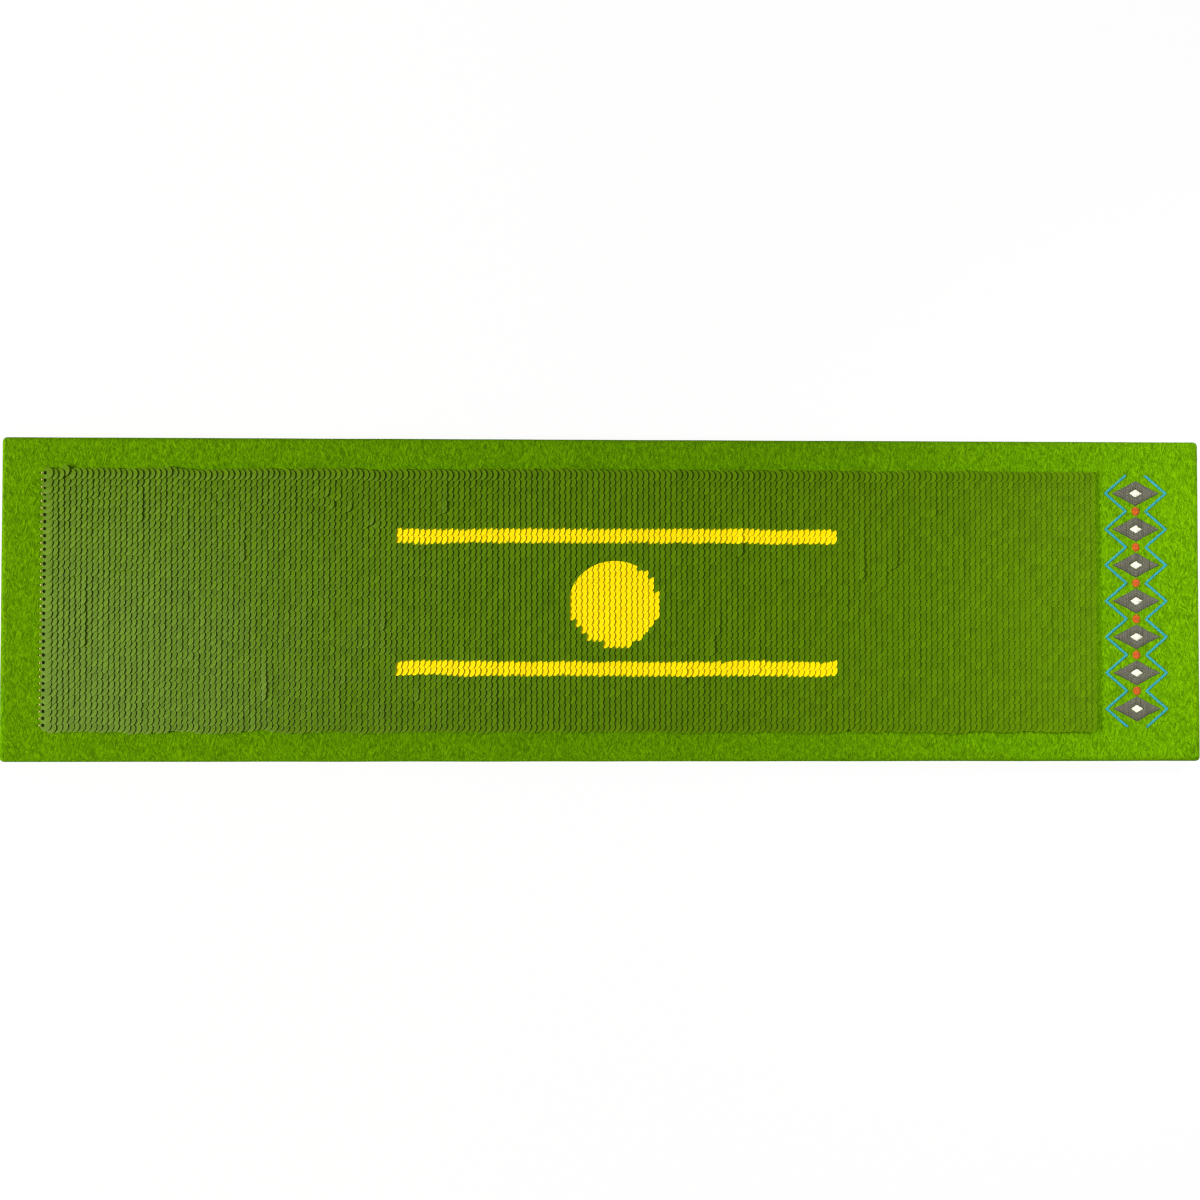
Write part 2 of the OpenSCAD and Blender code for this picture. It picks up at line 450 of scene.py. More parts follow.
@dataclass(frozen=True)
class ThreadFinish(TwoToneFinish):
    """Twisted polyester or rayon thread: silky, with the slanted lines of its ply in its relief, and painted
    light and shade along them in its colour.
    """

    roughness: float = 0.42
    relief: float = 0.05
    bump: float = 0.6
    sheen: float = 0.12
    shine: float = 0.2
    ply_shading_share: float = 0.45

    def material(self) -> Material:
        """Makes the material.

        Returns:
            The material.
        """
        material, tree, surface = new_material(self.name)
        tone = add_node(tree, "ShaderNodeAttribute", {"attribute_name": "tone"}).outputs["Fac"]
        twist = add_node(tree, "ShaderNodeAttribute", {"attribute_name": "twist"}).outputs["Fac"]
        turn = add_node(tree, "ShaderNodeMath", {"operation": "MULTIPLY"}, {0: twist, 1: math.tau}).outputs[0]
        ply = add_node(tree, "ShaderNodeMath", {"operation": "SINE"}, {0: turn}).outputs[0]
        lit = add_node(tree, "ShaderNodeMapRange", inputs={"Value": ply, "From Min": -1.0}).outputs["Result"]
        # The ply's lines also tint the colour, as painted light on their crowns and painted shade in their
        # grooves
        share = add_node(tree, "ShaderNodeMix", inputs={
            Mix.SHARE: self.ply_shading_share, Mix.VALUE_A: tone, Mix.VALUE_B: lit}).outputs[0]
        self.dress(tree, surface, share, lit)
        feed(tree, surface, {"Sheen Weight": self.sheen, "Specular IOR Level": self.shine})
        return material


@dataclass(frozen=True)
class FoamFinish(TwoToneFinish):
    """Closed-cell foam sheet, skived to thickness, which leaves a dull face of small cut cells."""

    name: str = "skived_foam"
    shade: str = "#2b2d2b"
    body: str = "#444744"
    roughness: float = 0.9
    relief: float = 0.15
    cell: float = 0.7

    def material(self) -> Material:
        """Makes the material.

        Returns:
            The material.
        """
        material, tree, surface = new_material(self.name)
        place = add_node(tree, "ShaderNodeTexCoord").outputs["Object"]
        cells = add_node(tree, "ShaderNodeTexVoronoi", inputs={
            "Vector": place, "Scale": 1 / (self.cell * MM)}).outputs["Distance"]
        self.dress(tree, surface, cells, cells)
        return material


@dataclass(frozen=True)
class PlateFinish(TwoToneFinish):
    """Extruded polypropylene sheet: half gloss, with a faint orange peel and drawn lines."""

    name: str = "extruded_polypropylene"
    shade: str = "#b4b8ba"
    body: str = "#cdd0d2"
    roughness: float = 0.45
    relief: float = 0.03
    peel: float = 1.6
    drawn: float = 0.05

    def material(self) -> Material:
        """Makes the material.

        Returns:
            The material.
        """
        material, tree, surface = new_material(self.name)
        place = add_node(tree, "ShaderNodeTexCoord").outputs["Object"]
        drawn = add_node(tree, "ShaderNodeMapping", inputs={"Vector": place, "Scale": (self.drawn, 1, 1)})
        peel = add_node(tree, "ShaderNodeTexNoise", inputs={
            "Vector": drawn.outputs["Vector"], "Scale": 1 / (self.peel * MM), "Detail": 2.0}).outputs["Fac"]
        self.dress(tree, surface, peel, peel)
        return material


@dataclass(frozen=True)
class RubberFinish(TwoToneFinish):
    """Calendered rubber sheet: dull black, with the fine crossed ribs of the embossing roll for grip."""

    name: str = "embossed_rubber"
    shade: str = "#17181a"
    body: str = "#303234"
    roughness: float = 0.75
    relief: float = 0.25
    rib: float = 2.4
    rib_ways: tuple[float, float] = (45, -45)
    rib_share: float = 0.4
    dust: float = 6.0

    def material(self) -> Material:
        """Makes the material.

        Returns:
            The material.
        """
        material, tree, surface = new_material(self.name)
        place = add_node(tree, "ShaderNodeTexCoord").outputs["Object"]
        ribs = []
        for degrees in self.rib_ways:
            turned = add_node(tree, "ShaderNodeMapping", inputs={
                "Vector": place, "Rotation": (0, 0, math.radians(degrees))})
            ribs.append(add_node(tree, "ShaderNodeTexWave", {"wave_profile": "SIN"}, {
                "Vector": turned.outputs["Vector"], "Scale": WAVE_LENGTH / (self.rib * MM)}).outputs["Fac"])
        crossed = add_node(tree, "ShaderNodeMath", {"operation": "MAXIMUM"}, {
            0: ribs[0], 1: ribs[1]}).outputs[0]
        dust = add_node(tree, "ShaderNodeTexNoise", inputs={
            "Vector": place, "Scale": 1 / (self.dust * MM), "Detail": 4.0}).outputs["Fac"]
        share = add_node(tree, "ShaderNodeMix", inputs={
            Mix.SHARE: self.rib_share, Mix.VALUE_A: dust, Mix.VALUE_B: crossed}).outputs[0]
        self.dress(tree, surface, share, crossed)
        return material


def in_scene(name: str, data: ID) -> Object:
    """Makes an object of a mesh, a light or a camera.

    Args:
        name: The object's name.
        data: What it shows.

    Returns:
        The object, linked to the scene.
    """
    made = bpy.data.objects.new(name, data)
    bpy.context.scene.collection.objects.link(made)
    return made


@dataclass
class Shape:
    """A mesh in plain arrays, in metres, ready to be stamped many times."""

    points: np.ndarray
    corners: np.ndarray
    starts: np.ndarray
    slots: np.ndarray
    uv: np.ndarray
    marks: dict[str, np.ndarray]

    @classmethod
    def from_faces(
        cls,
        points: np.ndarray,
        faces: list[list[int]],
        slots: list[int] | None = None,
        uv: np.ndarray | list[tuple[float, float]] | None = None,
        marks: dict[str, np.ndarray] | None = None,
    ) -> "Shape":
        """Makes a shape from a list of faces.

        Args:
            points: The vertices.
            faces: Vertex numbers of each face.
            slots: Material slot of each face.
            uv: Bake coordinates of each face corner, in a unit cell.
            marks: Values of each vertex, by name.

        Returns:
            The shape.
        """
        sizes = np.array([len(face) for face in faces])
        corners = np.concatenate([np.array(face) for face in faces])
        return cls(
            np.asarray(points, float),
            corners,
            np.concatenate([[0], np.cumsum(sizes)[:-1]]),
            np.array(slots if slots is not None else [0] * len(faces)),
            np.array(uv if uv is not None else [(0.5, 0.5)] * len(corners), float),
            marks or {},
        )

    def stamped(self, turns: np.ndarray, places: np.ndarray, marks: dict[str, np.ndarray]) -> "Shape":
        """Copies the shape to many places.

        Args:
            turns: One rotation matrix for each copy.
            places: One place for each copy.
            marks: One value for each copy, by name, which all its vertices take.

        Returns:
            One shape that holds the copies, with each copy's bake coordinates in a cell of its own.
        """
        count = len(places)
        size = len(self.points)
        points = (np.einsum("nij,vj->nvi", turns, self.points) + places[:, None, :]).reshape(-1, 3)
        number = np.arange(count)
        corners = (self.corners[None, :] + (number * size)[:, None]).ravel()
        starts = (self.starts[None, :] + (number * len(self.corners))[:, None]).ravel()
        across = math.ceil(math.sqrt(count))
        cell = np.stack([number % across, number // across], 1)
        uv = ((self.uv[None, :, :] + cell[:, None, :]) / across).reshape(-1, 2)
        values = {name: np.repeat(value, size) for name, value in marks.items()}
        values.update({name: np.tile(value, count) for name, value in self.marks.items()})
        return Shape(points, corners, starts, np.tile(self.slots, count), uv, values)

    @staticmethod
    def joined(shapes: Iterable["Shape"]) -> "Shape":
        """Joins shapes into one.

        Args:
            shapes: The shapes, which all hold the same marks.

        Returns:
            The joined shape, with its parts' bake coordinates side by side.
        """
        parts = list(shapes)
        across = math.ceil(math.sqrt(len(parts)))
        points, corners, starts, slots, uv = [], [], [], [], []
        point_count = corner_count = 0
        for number, part in enumerate(parts):
            points.append(part.points)
            corners.append(part.corners + point_count)
            starts.append(part.starts + corner_count)
            slots.append(part.slots)
            uv.append((part.uv + (number % across, number // across)) / across)
            point_count += len(part.points)
            corner_count += len(part.corners)
        marks = {name: np.concatenate([part.marks[name] for part in parts]) for name in parts[0].marks}
        arrays = [np.concatenate(values) for values in (points, corners, starts, slots, uv)]
        return Shape(*arrays, marks)

    def piece(self, name: str, materials: list[Material], crease: float | None = None) -> Object:
        """Makes the mesh object.

        Args:
            name: The piece's name.
            materials: Its materials, in slot order.
            crease: Angle in degrees past which an edge stays sharp, or none for an all smooth mesh.

        Returns:
            The object, linked to the scene.
        """
        mesh = bpy.data.meshes.new(name)
        mesh.vertices.add(len(self.points))
        mesh.vertices.foreach_set("co", self.points.astype(np.float32).ravel())
        mesh.loops.add(len(self.corners))
        mesh.loops.foreach_set("vertex_index", self.corners.astype(np.int32))
        mesh.polygons.add(len(self.starts))
        mesh.polygons.foreach_set("loop_start", self.starts.astype(np.int32))
        mesh.polygons.foreach_set("material_index", self.slots.astype(np.int32))
        mesh.polygons.foreach_set("use_smooth", np.ones(len(self.starts), bool))
        layer = mesh.uv_layers.new(name="OFBake")
        layer.uv.foreach_set("vector", self.uv.astype(np.float32).ravel())
        for mark, values in self.marks.items():
            attribute = mesh.attributes.new(mark, "FLOAT", "POINT")
            attribute.data.foreach_set("value", values.astype(np.float32))
        mesh.update(calc_edges=True)
        mesh.validate()
        if crease is not None:
            mesh.set_sharp_from_angle(angle=math.radians(crease))
        for material in materials:
            mesh.materials.append(material)
        return in_scene(name, mesh)


def band(first: list[int], second: list[int]) -> list[list[int]]:
    """Joins two closed rings of vertices with quads.

    Args:
        first: Vertex numbers of one ring.
        second: Vertex numbers of the other, in the same order.

    Returns:
        The faces.
    """
    count = len(first)
    return [[first[i], first[(i + 1) % count], second[(i + 1) % count], second[i]] for i in range(count)]


def ring_numbers(rings: int, count: int) -> list[list[int]]:
    """Returns the vertex numbers of rings that follow each other, all with the same count of vertices."""
    return np.arange(rings * count).reshape(rings, count).tolist()


def skin(rings: list[list[int]]) -> list[list[int]]:
    """Returns the faces that join each ring of vertices to the next."""
    return [face for first, second in zip(rings, rings[1:]) for face in band(first, second)]


def grid_uv(tall: int, wide: int, margin: float = 0.0) -> list[tuple[float, float]]:
    """Lays the quads of a tube side by side in a bake cell.

    Args:
        tall: How many quads it has along its length.
        wide: How many it has round its section.
        margin: Share of the cell that stays free on each side.

    Returns:
        The bake coordinates of each quad's corners, in the order of the faces of a skin.
    """
    up, across = (margin + (1 - 2 * margin) * np.arange(count + 1) / count for count in (tall, wide))
    corners = ((0, 0), (1, 0), (1, 1), (0, 1))
    return [(across[side + right], up[at + high])
            for at in range(tall) for side in range(wide) for right, high in corners]


def spins(angles: np.ndarray, first: int, second: int) -> np.ndarray:
    """Makes the rotations that carry one axis towards another.

    Args:
        angles: The angles in radians.
        first: Number of the axis that is carried.
        second: Number of the axis that it is carried towards.

    Returns:
        One matrix for each angle.
    """
    turns = np.tile(np.eye(3), (len(angles), 1, 1))
    turns[:, first, first] = np.cos(angles)
    turns[:, second, second] = np.cos(angles)
    turns[:, second, first] = np.sin(angles)
    turns[:, first, second] = -np.sin(angles)
    return turns


def seat(piece: Object, body: str, slot: str, *nodes: str) -> None:
    """Lets a piece ride on its body in place of its nodes, and reports it.

    Args:
        piece: The piece.
        body: The body that carries it.
        slot: The record's material slot, not used.
        nodes: The nodes that it stands for.
    """
    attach(piece, body)
    if nodes:
        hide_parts(*nodes)
    LOG.info("%s: %d faces on %s", piece.name, len(piece.data.polygons), body)


@dataclass
class SequinField:
    """The sequins: every one a cupped disc of film that lies over its right and lower neighbours."""

    # The grid
    columns: int = 188
    rows: int = 37
    row_pitch: float = 3.54
    flip_start: int = 81
    # One sequin, with a bead along its rim and a thread hole in its margin
    sequin_d: float = 5.9
    film_t: float = 0.12
    hole_d: float = 1.9
    hole_margin: float = 0.5
    hole_clear: float = 0.05
    rim_lift: float = 0.04
    free_way: float = -25.0
    free_steep: int = 4
    ring_lift: float = 0.03
    ring_share: float = 0.8
    bead_share: float = 0.88
    # How the sequins lie
    rest_tilt: float = 14.0
    row_roll: float = 5.2
    droop: float = -9.0
    smooth_yaw: float = 12.0
    loose_yaw: float = 4.0
    yaw_limits: tuple[float, float] = (-30.0, 26.0)
    smooth_tilt: float = 0.6
    loose_tilt: float = 0.45
    slack: float = 0.8
    stray_share: float = 0.008
    stray_lift: float = 6.0
    stray_yaw: float = 16.0
    column_play: float = 0.06
    row_play: float = 0.12
    turning_roll: float = 2.8
    turning_even: float = 0.5
    turning_calm: float = 0.35
    first_yaw: float = 5.0
    top_lift: float = 3.0
    top_even: float = 0.6
    even_columns: tuple[int, int] = (40, 70)
    even_share: float = 0.6
    printed_flat: float = 2.0
    # Single sequins that stand out: column, row, lift and turn
    lifted: tuple[tuple[int, int, float, float], ...] = (
        (4, 1, 2.0, 26.0), (1, 2, 2.0, -24.0), (2, 2, 1.0, -26.0), (1, 3, 1.0, -22.0), (2, 3, 1.0, -20.0),
        (50, 4, 5.0, 30.0), (51, 5, 4.0, -28.0), (54, 6, 5.0, 24.0), (58, 8, 5.0, 26.0),
    )
    # The yellow print and the tones of the film
    bar_columns: tuple[int, int] = (63, 141)
    bar_rows: tuple[int, ...] = (9, 10, 28, 29)
    shown_place: tuple[float, float] = (0.6, -0.8)
    spot_more: float = 2.4
    spot_less: float = 0.3
    spot_flat: float = 1.5
    spot_deep: float = 0.8
    spot_deep_from: float = -6.5
    spot_cut: float = 2.8
    tone_middle: float = 0.5
    tone_spread: float = 0.25
    # The meshes
    rim_shown: tuple[float, float] = (-118.0, 72.0)
    rim_shown_corners: int = 13
    rim_under_corners: int = 3
    round_corners: int = 20
    crease: float = 35.0
    static_pieces: int = 3
    bake_reach: tuple[float, float] = (0.2, 0.42)
    bake_edge: tuple[float, float] = (0.03, 0.05)
    bake_front: float = 0.25
    bake_reverse: float = 0.75
    finish: SequinFinish = SequinFinish()

    def __post_init__(self) -> None:
        """Takes the hinge lines from the frame's joints."""
        hinges = {joint["child"]: joint["pos_m"] for joint in frame["joints"]}
        self.turning = sorted(hinges)
        first = hinges[self.turning[0]]
        last = hinges[self.turning[-1]]
        self.column_pitch = (last[0] - first[0]) / (len(self.turning) - 1)
        self.first_x = first[0] - (self.flip_start - 1) * self.column_pitch
        self.hinge_z = first[2]
        self.flip_end = self.flip_start + len(self.turning) - 1
        self.draws = np.random.default_rng(SEED)
        self.lay()

    @property
    def radius(self) -> float:
        """Radius of a sequin in metres."""
        return self.sequin_d / 2 * MM

    @property
    def middle(self) -> float:
        """Distance from the hinge line to the middle of a sequin, in metres."""
        return self.radius - self.hole_margin / 2 * MM

    def column_x(self, column: np.ndarray | int) -> np.ndarray | float:
        """Returns the hinge lines of columns counted from 1."""
        return self.first_x + (column - 1) * self.column_pitch

    def row_y(self, row: np.ndarray) -> np.ndarray:
        """Returns the stitch places of rows counted from 1 at the top."""
        return ((self.rows + 1) / 2 - row) * self.row_pitch * MM

    def drift(self, reach: int) -> np.ndarray:
        """Draws a field that changes slowly from sequin to sequin.

        Args:
            reach: How many neighbours on each side are averaged.

        Returns:
            One value for each column and row, with a spread of 1.
        """
        wide = self.draws.standard_normal((self.columns + 2 * reach, self.rows + 2 * reach))
        total = sum(
            wide[a:a + self.columns, b:b + self.rows]
            for a in range(2 * reach + 1) for b in range(2 * reach + 1)
        )
        return total / total.std()

    def lay(self) -> None:
        """Draws how each sequin lies: its slope, its turn about the stitch, its place and its tone."""
        shape = (self.columns, self.rows)
        column = np.arange(1, self.columns + 1)[:, None]
        row = np.arange(1, self.rows + 1)[None, :]
        moves = (column >= self.flip_start) & (column <= self.flip_end)
        calm = np.where(moves, self.turning_calm, 1.0)
        stray = (self.draws.random(shape) < self.stray_share) * np.where(moves, 0.0, 1.0)
        stray[:, 0] = 0.0
        strength = self.draws.random(shape)
        yaw = self.smooth_yaw * self.drift(2) + self.loose_yaw * self.draws.standard_normal(shape)
        # The sequins lie more evenly towards the middle, where they turn and along the top edge
        yaw *= np.interp(column, self.even_columns, (1.0, self.even_share))
        yaw *= np.where(moves, self.turning_even, 1.0)
        yaw[:, 0] *= self.top_even
        yaw += self.droop + stray * self.stray_yaw * self.draws.standard_normal(shape)
        tilt = self.smooth_tilt * self.drift(3) + self.loose_tilt * self.draws.standard_normal(shape)
        tilt = self.rest_tilt + calm * tilt + stray * strength * self.stray_lift
        # A sequin lies on the one below it, so it can't be much flatter than that one
        for upper in range(self.rows - 2, -1, -1):
            tilt[:, upper] = np.maximum(tilt[:, upper], tilt[:, upper + 1] - self.slack)
        # Nothing lies on the top row, which stands up a little more
        tilt[:, 0] += calm[:, 0] * self.top_lift
        self.yaw = np.clip(yaw, *self.yaw_limits)
        # Nothing lies over the first column, which keeps its holes in sight
        self.yaw[0] = self.yaw[0] / 2 + self.first_yaw
        for at_column, at_row, lift, swing in self.lifted:
            tilt[at_column - 1, at_row - 1] += lift
            self.yaw[at_column - 1, at_row - 1] = swing
        # The columns that turn stay on their hinge lines
        play = np.where(moves, 0.0, self.column_play)
        self.shift_x = play * self.draws.standard_normal((self.columns, 1)) * MM
        self.shift_y = self.row_play * self.draws.standard_normal(shape) * MM
        self.tone = np.clip(self.tone_middle + self.tone_spread * self.draws.standard_normal(shape), 0, 1)
        self.printed = self.print_marks(column, row)
        # The printed sequins lie a little flatter
        self.tilt = tilt - self.printed_flat * (self.printed > 0)

    def print_marks(self, column: np.ndarray, row: np.ndarray) -> np.ndarray:
        """Works out which sequins take the yellow print.

        Args:
            column: The columns, counted from 1, one below the other.
            row: The rows, counted from 1, side by side.

        Returns:
            The print mark of each column and row.
        """
        first, last = self.bar_columns
        in_bar = (column >= first) & (column <= last) & np.isin(row, self.bar_rows)
        # The part of a sequin that shows lies right of and below its middle
        wide, tall = self.finish.spot_reach
        spot_x, spot_y = self.finish.spot_place
        shown_x = (self.column_x(column) + self.middle) / MM + self.shown_place[0] - spot_x
        shown_y = self.row_y(row) / MM + self.shown_place[1] - spot_y
        left = shown_x < self.finish.curve_right * wide - self.spot_cut
        more = np.where((shown_y > self.finish.curve_low * tall) & left, self.spot_more, -self.spot_less)
        beside = np.where(shown_x > 0, self.spot_flat, 0.0)
        below = np.where((shown_y < 0) & (shown_x > self.spot_deep_from), self.spot_deep, 0.0)
        in_spot = np.hypot(shown_x / (wide + more - beside), shown_y / (tall + more + below)) < 1
        return np.maximum(in_bar * PRINTED_WHOLE, in_spot * PRINTED_CUT)

    def sequin(self, hole: Hole, angles: np.ndarray) -> Shape:
        """Makes one sequin with its hinge line on the Y axis.

        Args:
            hole: Whether the thread hole is open.
            angles: Angles of the rim's corners, in radians.

        Returns:
            The shape.
        """
        top = self.film_t / 2 * MM
        count = len(angles)
        circle = np.stack([np.cos(angles), np.sin(angles)], 1)
        levels = [
            (self.radius, -top),
            (self.radius, top + self.rim_lift * MM),
            (self.radius * self.bead_share, top),
            (self.radius * self.ring_share, top + self.ring_lift * MM),
        ]
        rings = [np.column_stack([circle * r, np.full(count, z)]) for r, z in levels]
        low, rim, bead, inner, upper, lower = ring_numbers(6, count)
        free = np.cos((angles - math.radians(self.free_way)) / 2) ** self.free_steep
        rings[1][:, 2] -= self.rim_lift * MM * (1 - free)
        edge = band(low, rim)
        front = skin([rim, bead, inner])
        if hole is Hole.OPEN:
            hole_r = self.hole_d / 2 * MM
            hole_x = (self.hole_margin / 2 + self.hole_d / 2) * MM - self.middle
            # The inner ring gives way to the hole
            away = rings[3][:, :2] - (hole_x, 0)
            push = np.maximum((hole_r + self.hole_clear * MM) / np.hypot(away[:, 0], away[:, 1]), 1)
            rings[3][:, :2] = away * push[:, None] + (hole_x, 0)
            hole_ring = circle * hole_r + (hole_x, 0)
            rings += [np.column_stack([hole_ring, np.full(count, z)]) for z in (top, -top)]
            front += band(inner, upper)
            edge += band(upper, lower)
            reverse = band(lower, low)
        else:
            rings.append(np.array([[0, 0, top]]))
            heart = upper[0]
            front += [[inner[i], inner[(i + 1) % count], heart] for i in range(count)]
            reverse = [low[::-1]]
        points = np.concatenate(rings)
        faces = front + edge + reverse
        slots = [Side.FRONT] * len(front) + [Side.EDGE] * len(edge) + [Side.REVERSE] * len(reverse)
        uv = [self.bake_place(points[corner], side) for face, side in zip(faces, slots) for corner in face]
        on_rim = np.zeros(len(points))
        on_rim[rim] = 1.0
        return Shape.from_faces(points + (self.middle, 0, 0), faces, slots, uv, {"rim": on_rim})

    def bake_place(self, point: np.ndarray, side: Side) -> tuple[float, float]:
        """Places a vertex of a sequin in its bake cell, the front at the left and the reverse at the right.

        Args:
            point: The vertex, from the middle of the sequin.
            side: The face's material slot.

        Returns:
            The bake coordinates in a unit cell.
        """
        wide, tall = self.bake_reach
        if side is Side.EDGE and point[2] < 0:
            wide += self.bake_edge[0]
            tall += self.bake_edge[1]
        start = self.bake_reverse if side is Side.REVERSE else self.bake_front
        return start + wide * point[0] / self.radius, 0.5 + tall * point[1] / self.radius

    def stamp(self, shape: Shape, columns: np.ndarray) -> Shape:
        """Copies a sequin to every row of some columns.

        Args:
            shape: The sequin.
            columns: The columns, counted from 1.

        Returns:
            The sequins as one shape.
        """
        at = columns - 1
        tilt = np.radians(self.tilt[at]).ravel()
        yaw = np.radians(self.yaw[at]).ravel()
        rows = np.tile(np.arange(1, self.rows + 1), len(at))
        places = np.stack([
            np.repeat(self.column_x(columns) + self.shift_x[at, 0], self.rows),
            self.row_y(rows) + self.shift_y[at].ravel(),
            np.full(len(rows), self.hinge_z),
        ], 1)
        turns_over = self.flip_start <= columns[0] <= self.flip_end
        roll = np.radians(np.full(len(rows), self.turning_roll if turns_over else self.row_roll))
        turns = spins(tilt, 0, 2) @ spins(roll, 2, 1) @ spins(yaw, 0, 1)
        marks = {"tone": self.tone[at].ravel(), "printed": self.printed[at].ravel()}
        return shape.stamped(turns, places, marks)

    def build(self) -> None:
        """Makes all the sequins."""
        # Of a sequin that stays put only the right and lower rim shows, so its corners are closer there
        begin, end = (math.radians(angle) for angle in self.rim_shown)
        shown = np.linspace(begin, end, self.rim_shown_corners)
        under = np.linspace(end, begin + math.tau, self.rim_under_corners + 2)[1:-1]
        resting = self.sequin(Hole.HIDDEN, np.concatenate([shown, under]))
        turning = self.sequin(Hole.OPEN, np.linspace(0, math.tau, self.round_corners, endpoint=False))
        groups = []
        sides = (("left", 2, self.flip_start), ("right", self.flip_end + 2, self.columns + 1))
        for side, start, stop in sides:
            for number, columns in enumerate(np.array_split(np.arange(start, stop), self.static_pieces), 1):
                groups.append((f"{side}_sequins_{number}", resting, columns, MAIN_BODY, f"sequins_{side}"))
        groups.append(("end_sequins", turning, np.array([1, self.flip_end + 1]), MAIN_BODY, "edge_sequins"))
        for step, body in enumerate(self.turning):
            column = np.array([self.flip_start + step])
            groups.append((f"turning_sequins_{step + 1:02d}", turning, column, body, body))
        materials = self.finish.materials()
        for name, sequin, columns, body, node in groups:
            piece = self.stamp(sequin, columns).piece(name, materials, self.crease)
            seat(piece, body, "sequin_film", node)


def ramp(values: np.ndarray, start: float, end: float) -> np.ndarray:
    """Returns shares that go from 0 at the start to 1 at the end."""
    return np.clip((values - start) / (end - start), 0, 1)


def hills(x: np.ndarray, y: np.ndarray, size: float, level: float) -> np.ndarray:
    """Makes soft hills and hollows.

    Args:
        x: Places along the board.
        y: Places across it.
        size: How wide a hill is.
        level: Which cut through the noise is taken.

    Returns:
        The height at each place, about between -1 and 1.
    """
    return np.array([noise.noise(Vector((px / size, py / size, level))) for px, py in zip(x, y)])


@dataclass(frozen=True)
class Crease:
    """A soft fold in the felt, from one point to another."""

    start: tuple[float, float]
    end: tuple[float, float]
    height: float
    width: float
    blunt: float = 0.02

    def lift(self, x: np.ndarray, y: np.ndarray) -> np.ndarray:
        """Works out how far the fold lifts the felt.

        Args:
            x: Places along the board.
            y: Places across it.

        Returns:
            The lift at each place.
        """
        along = np.subtract(self.end, self.start)
        share = ((x - self.start[0]) * along[0] + (y - self.start[1]) * along[1]) / (along @ along)
        share = np.clip(share, 0, 1)
        away = np.hypot(x - self.start[0] - share * along[0], y - self.start[1] - share * along[1])
        fade = np.sin(np.pi * np.clip(share, self.blunt, 1 - self.blunt))
        return self.height * fade * np.exp(-((away / self.width) ** 2))


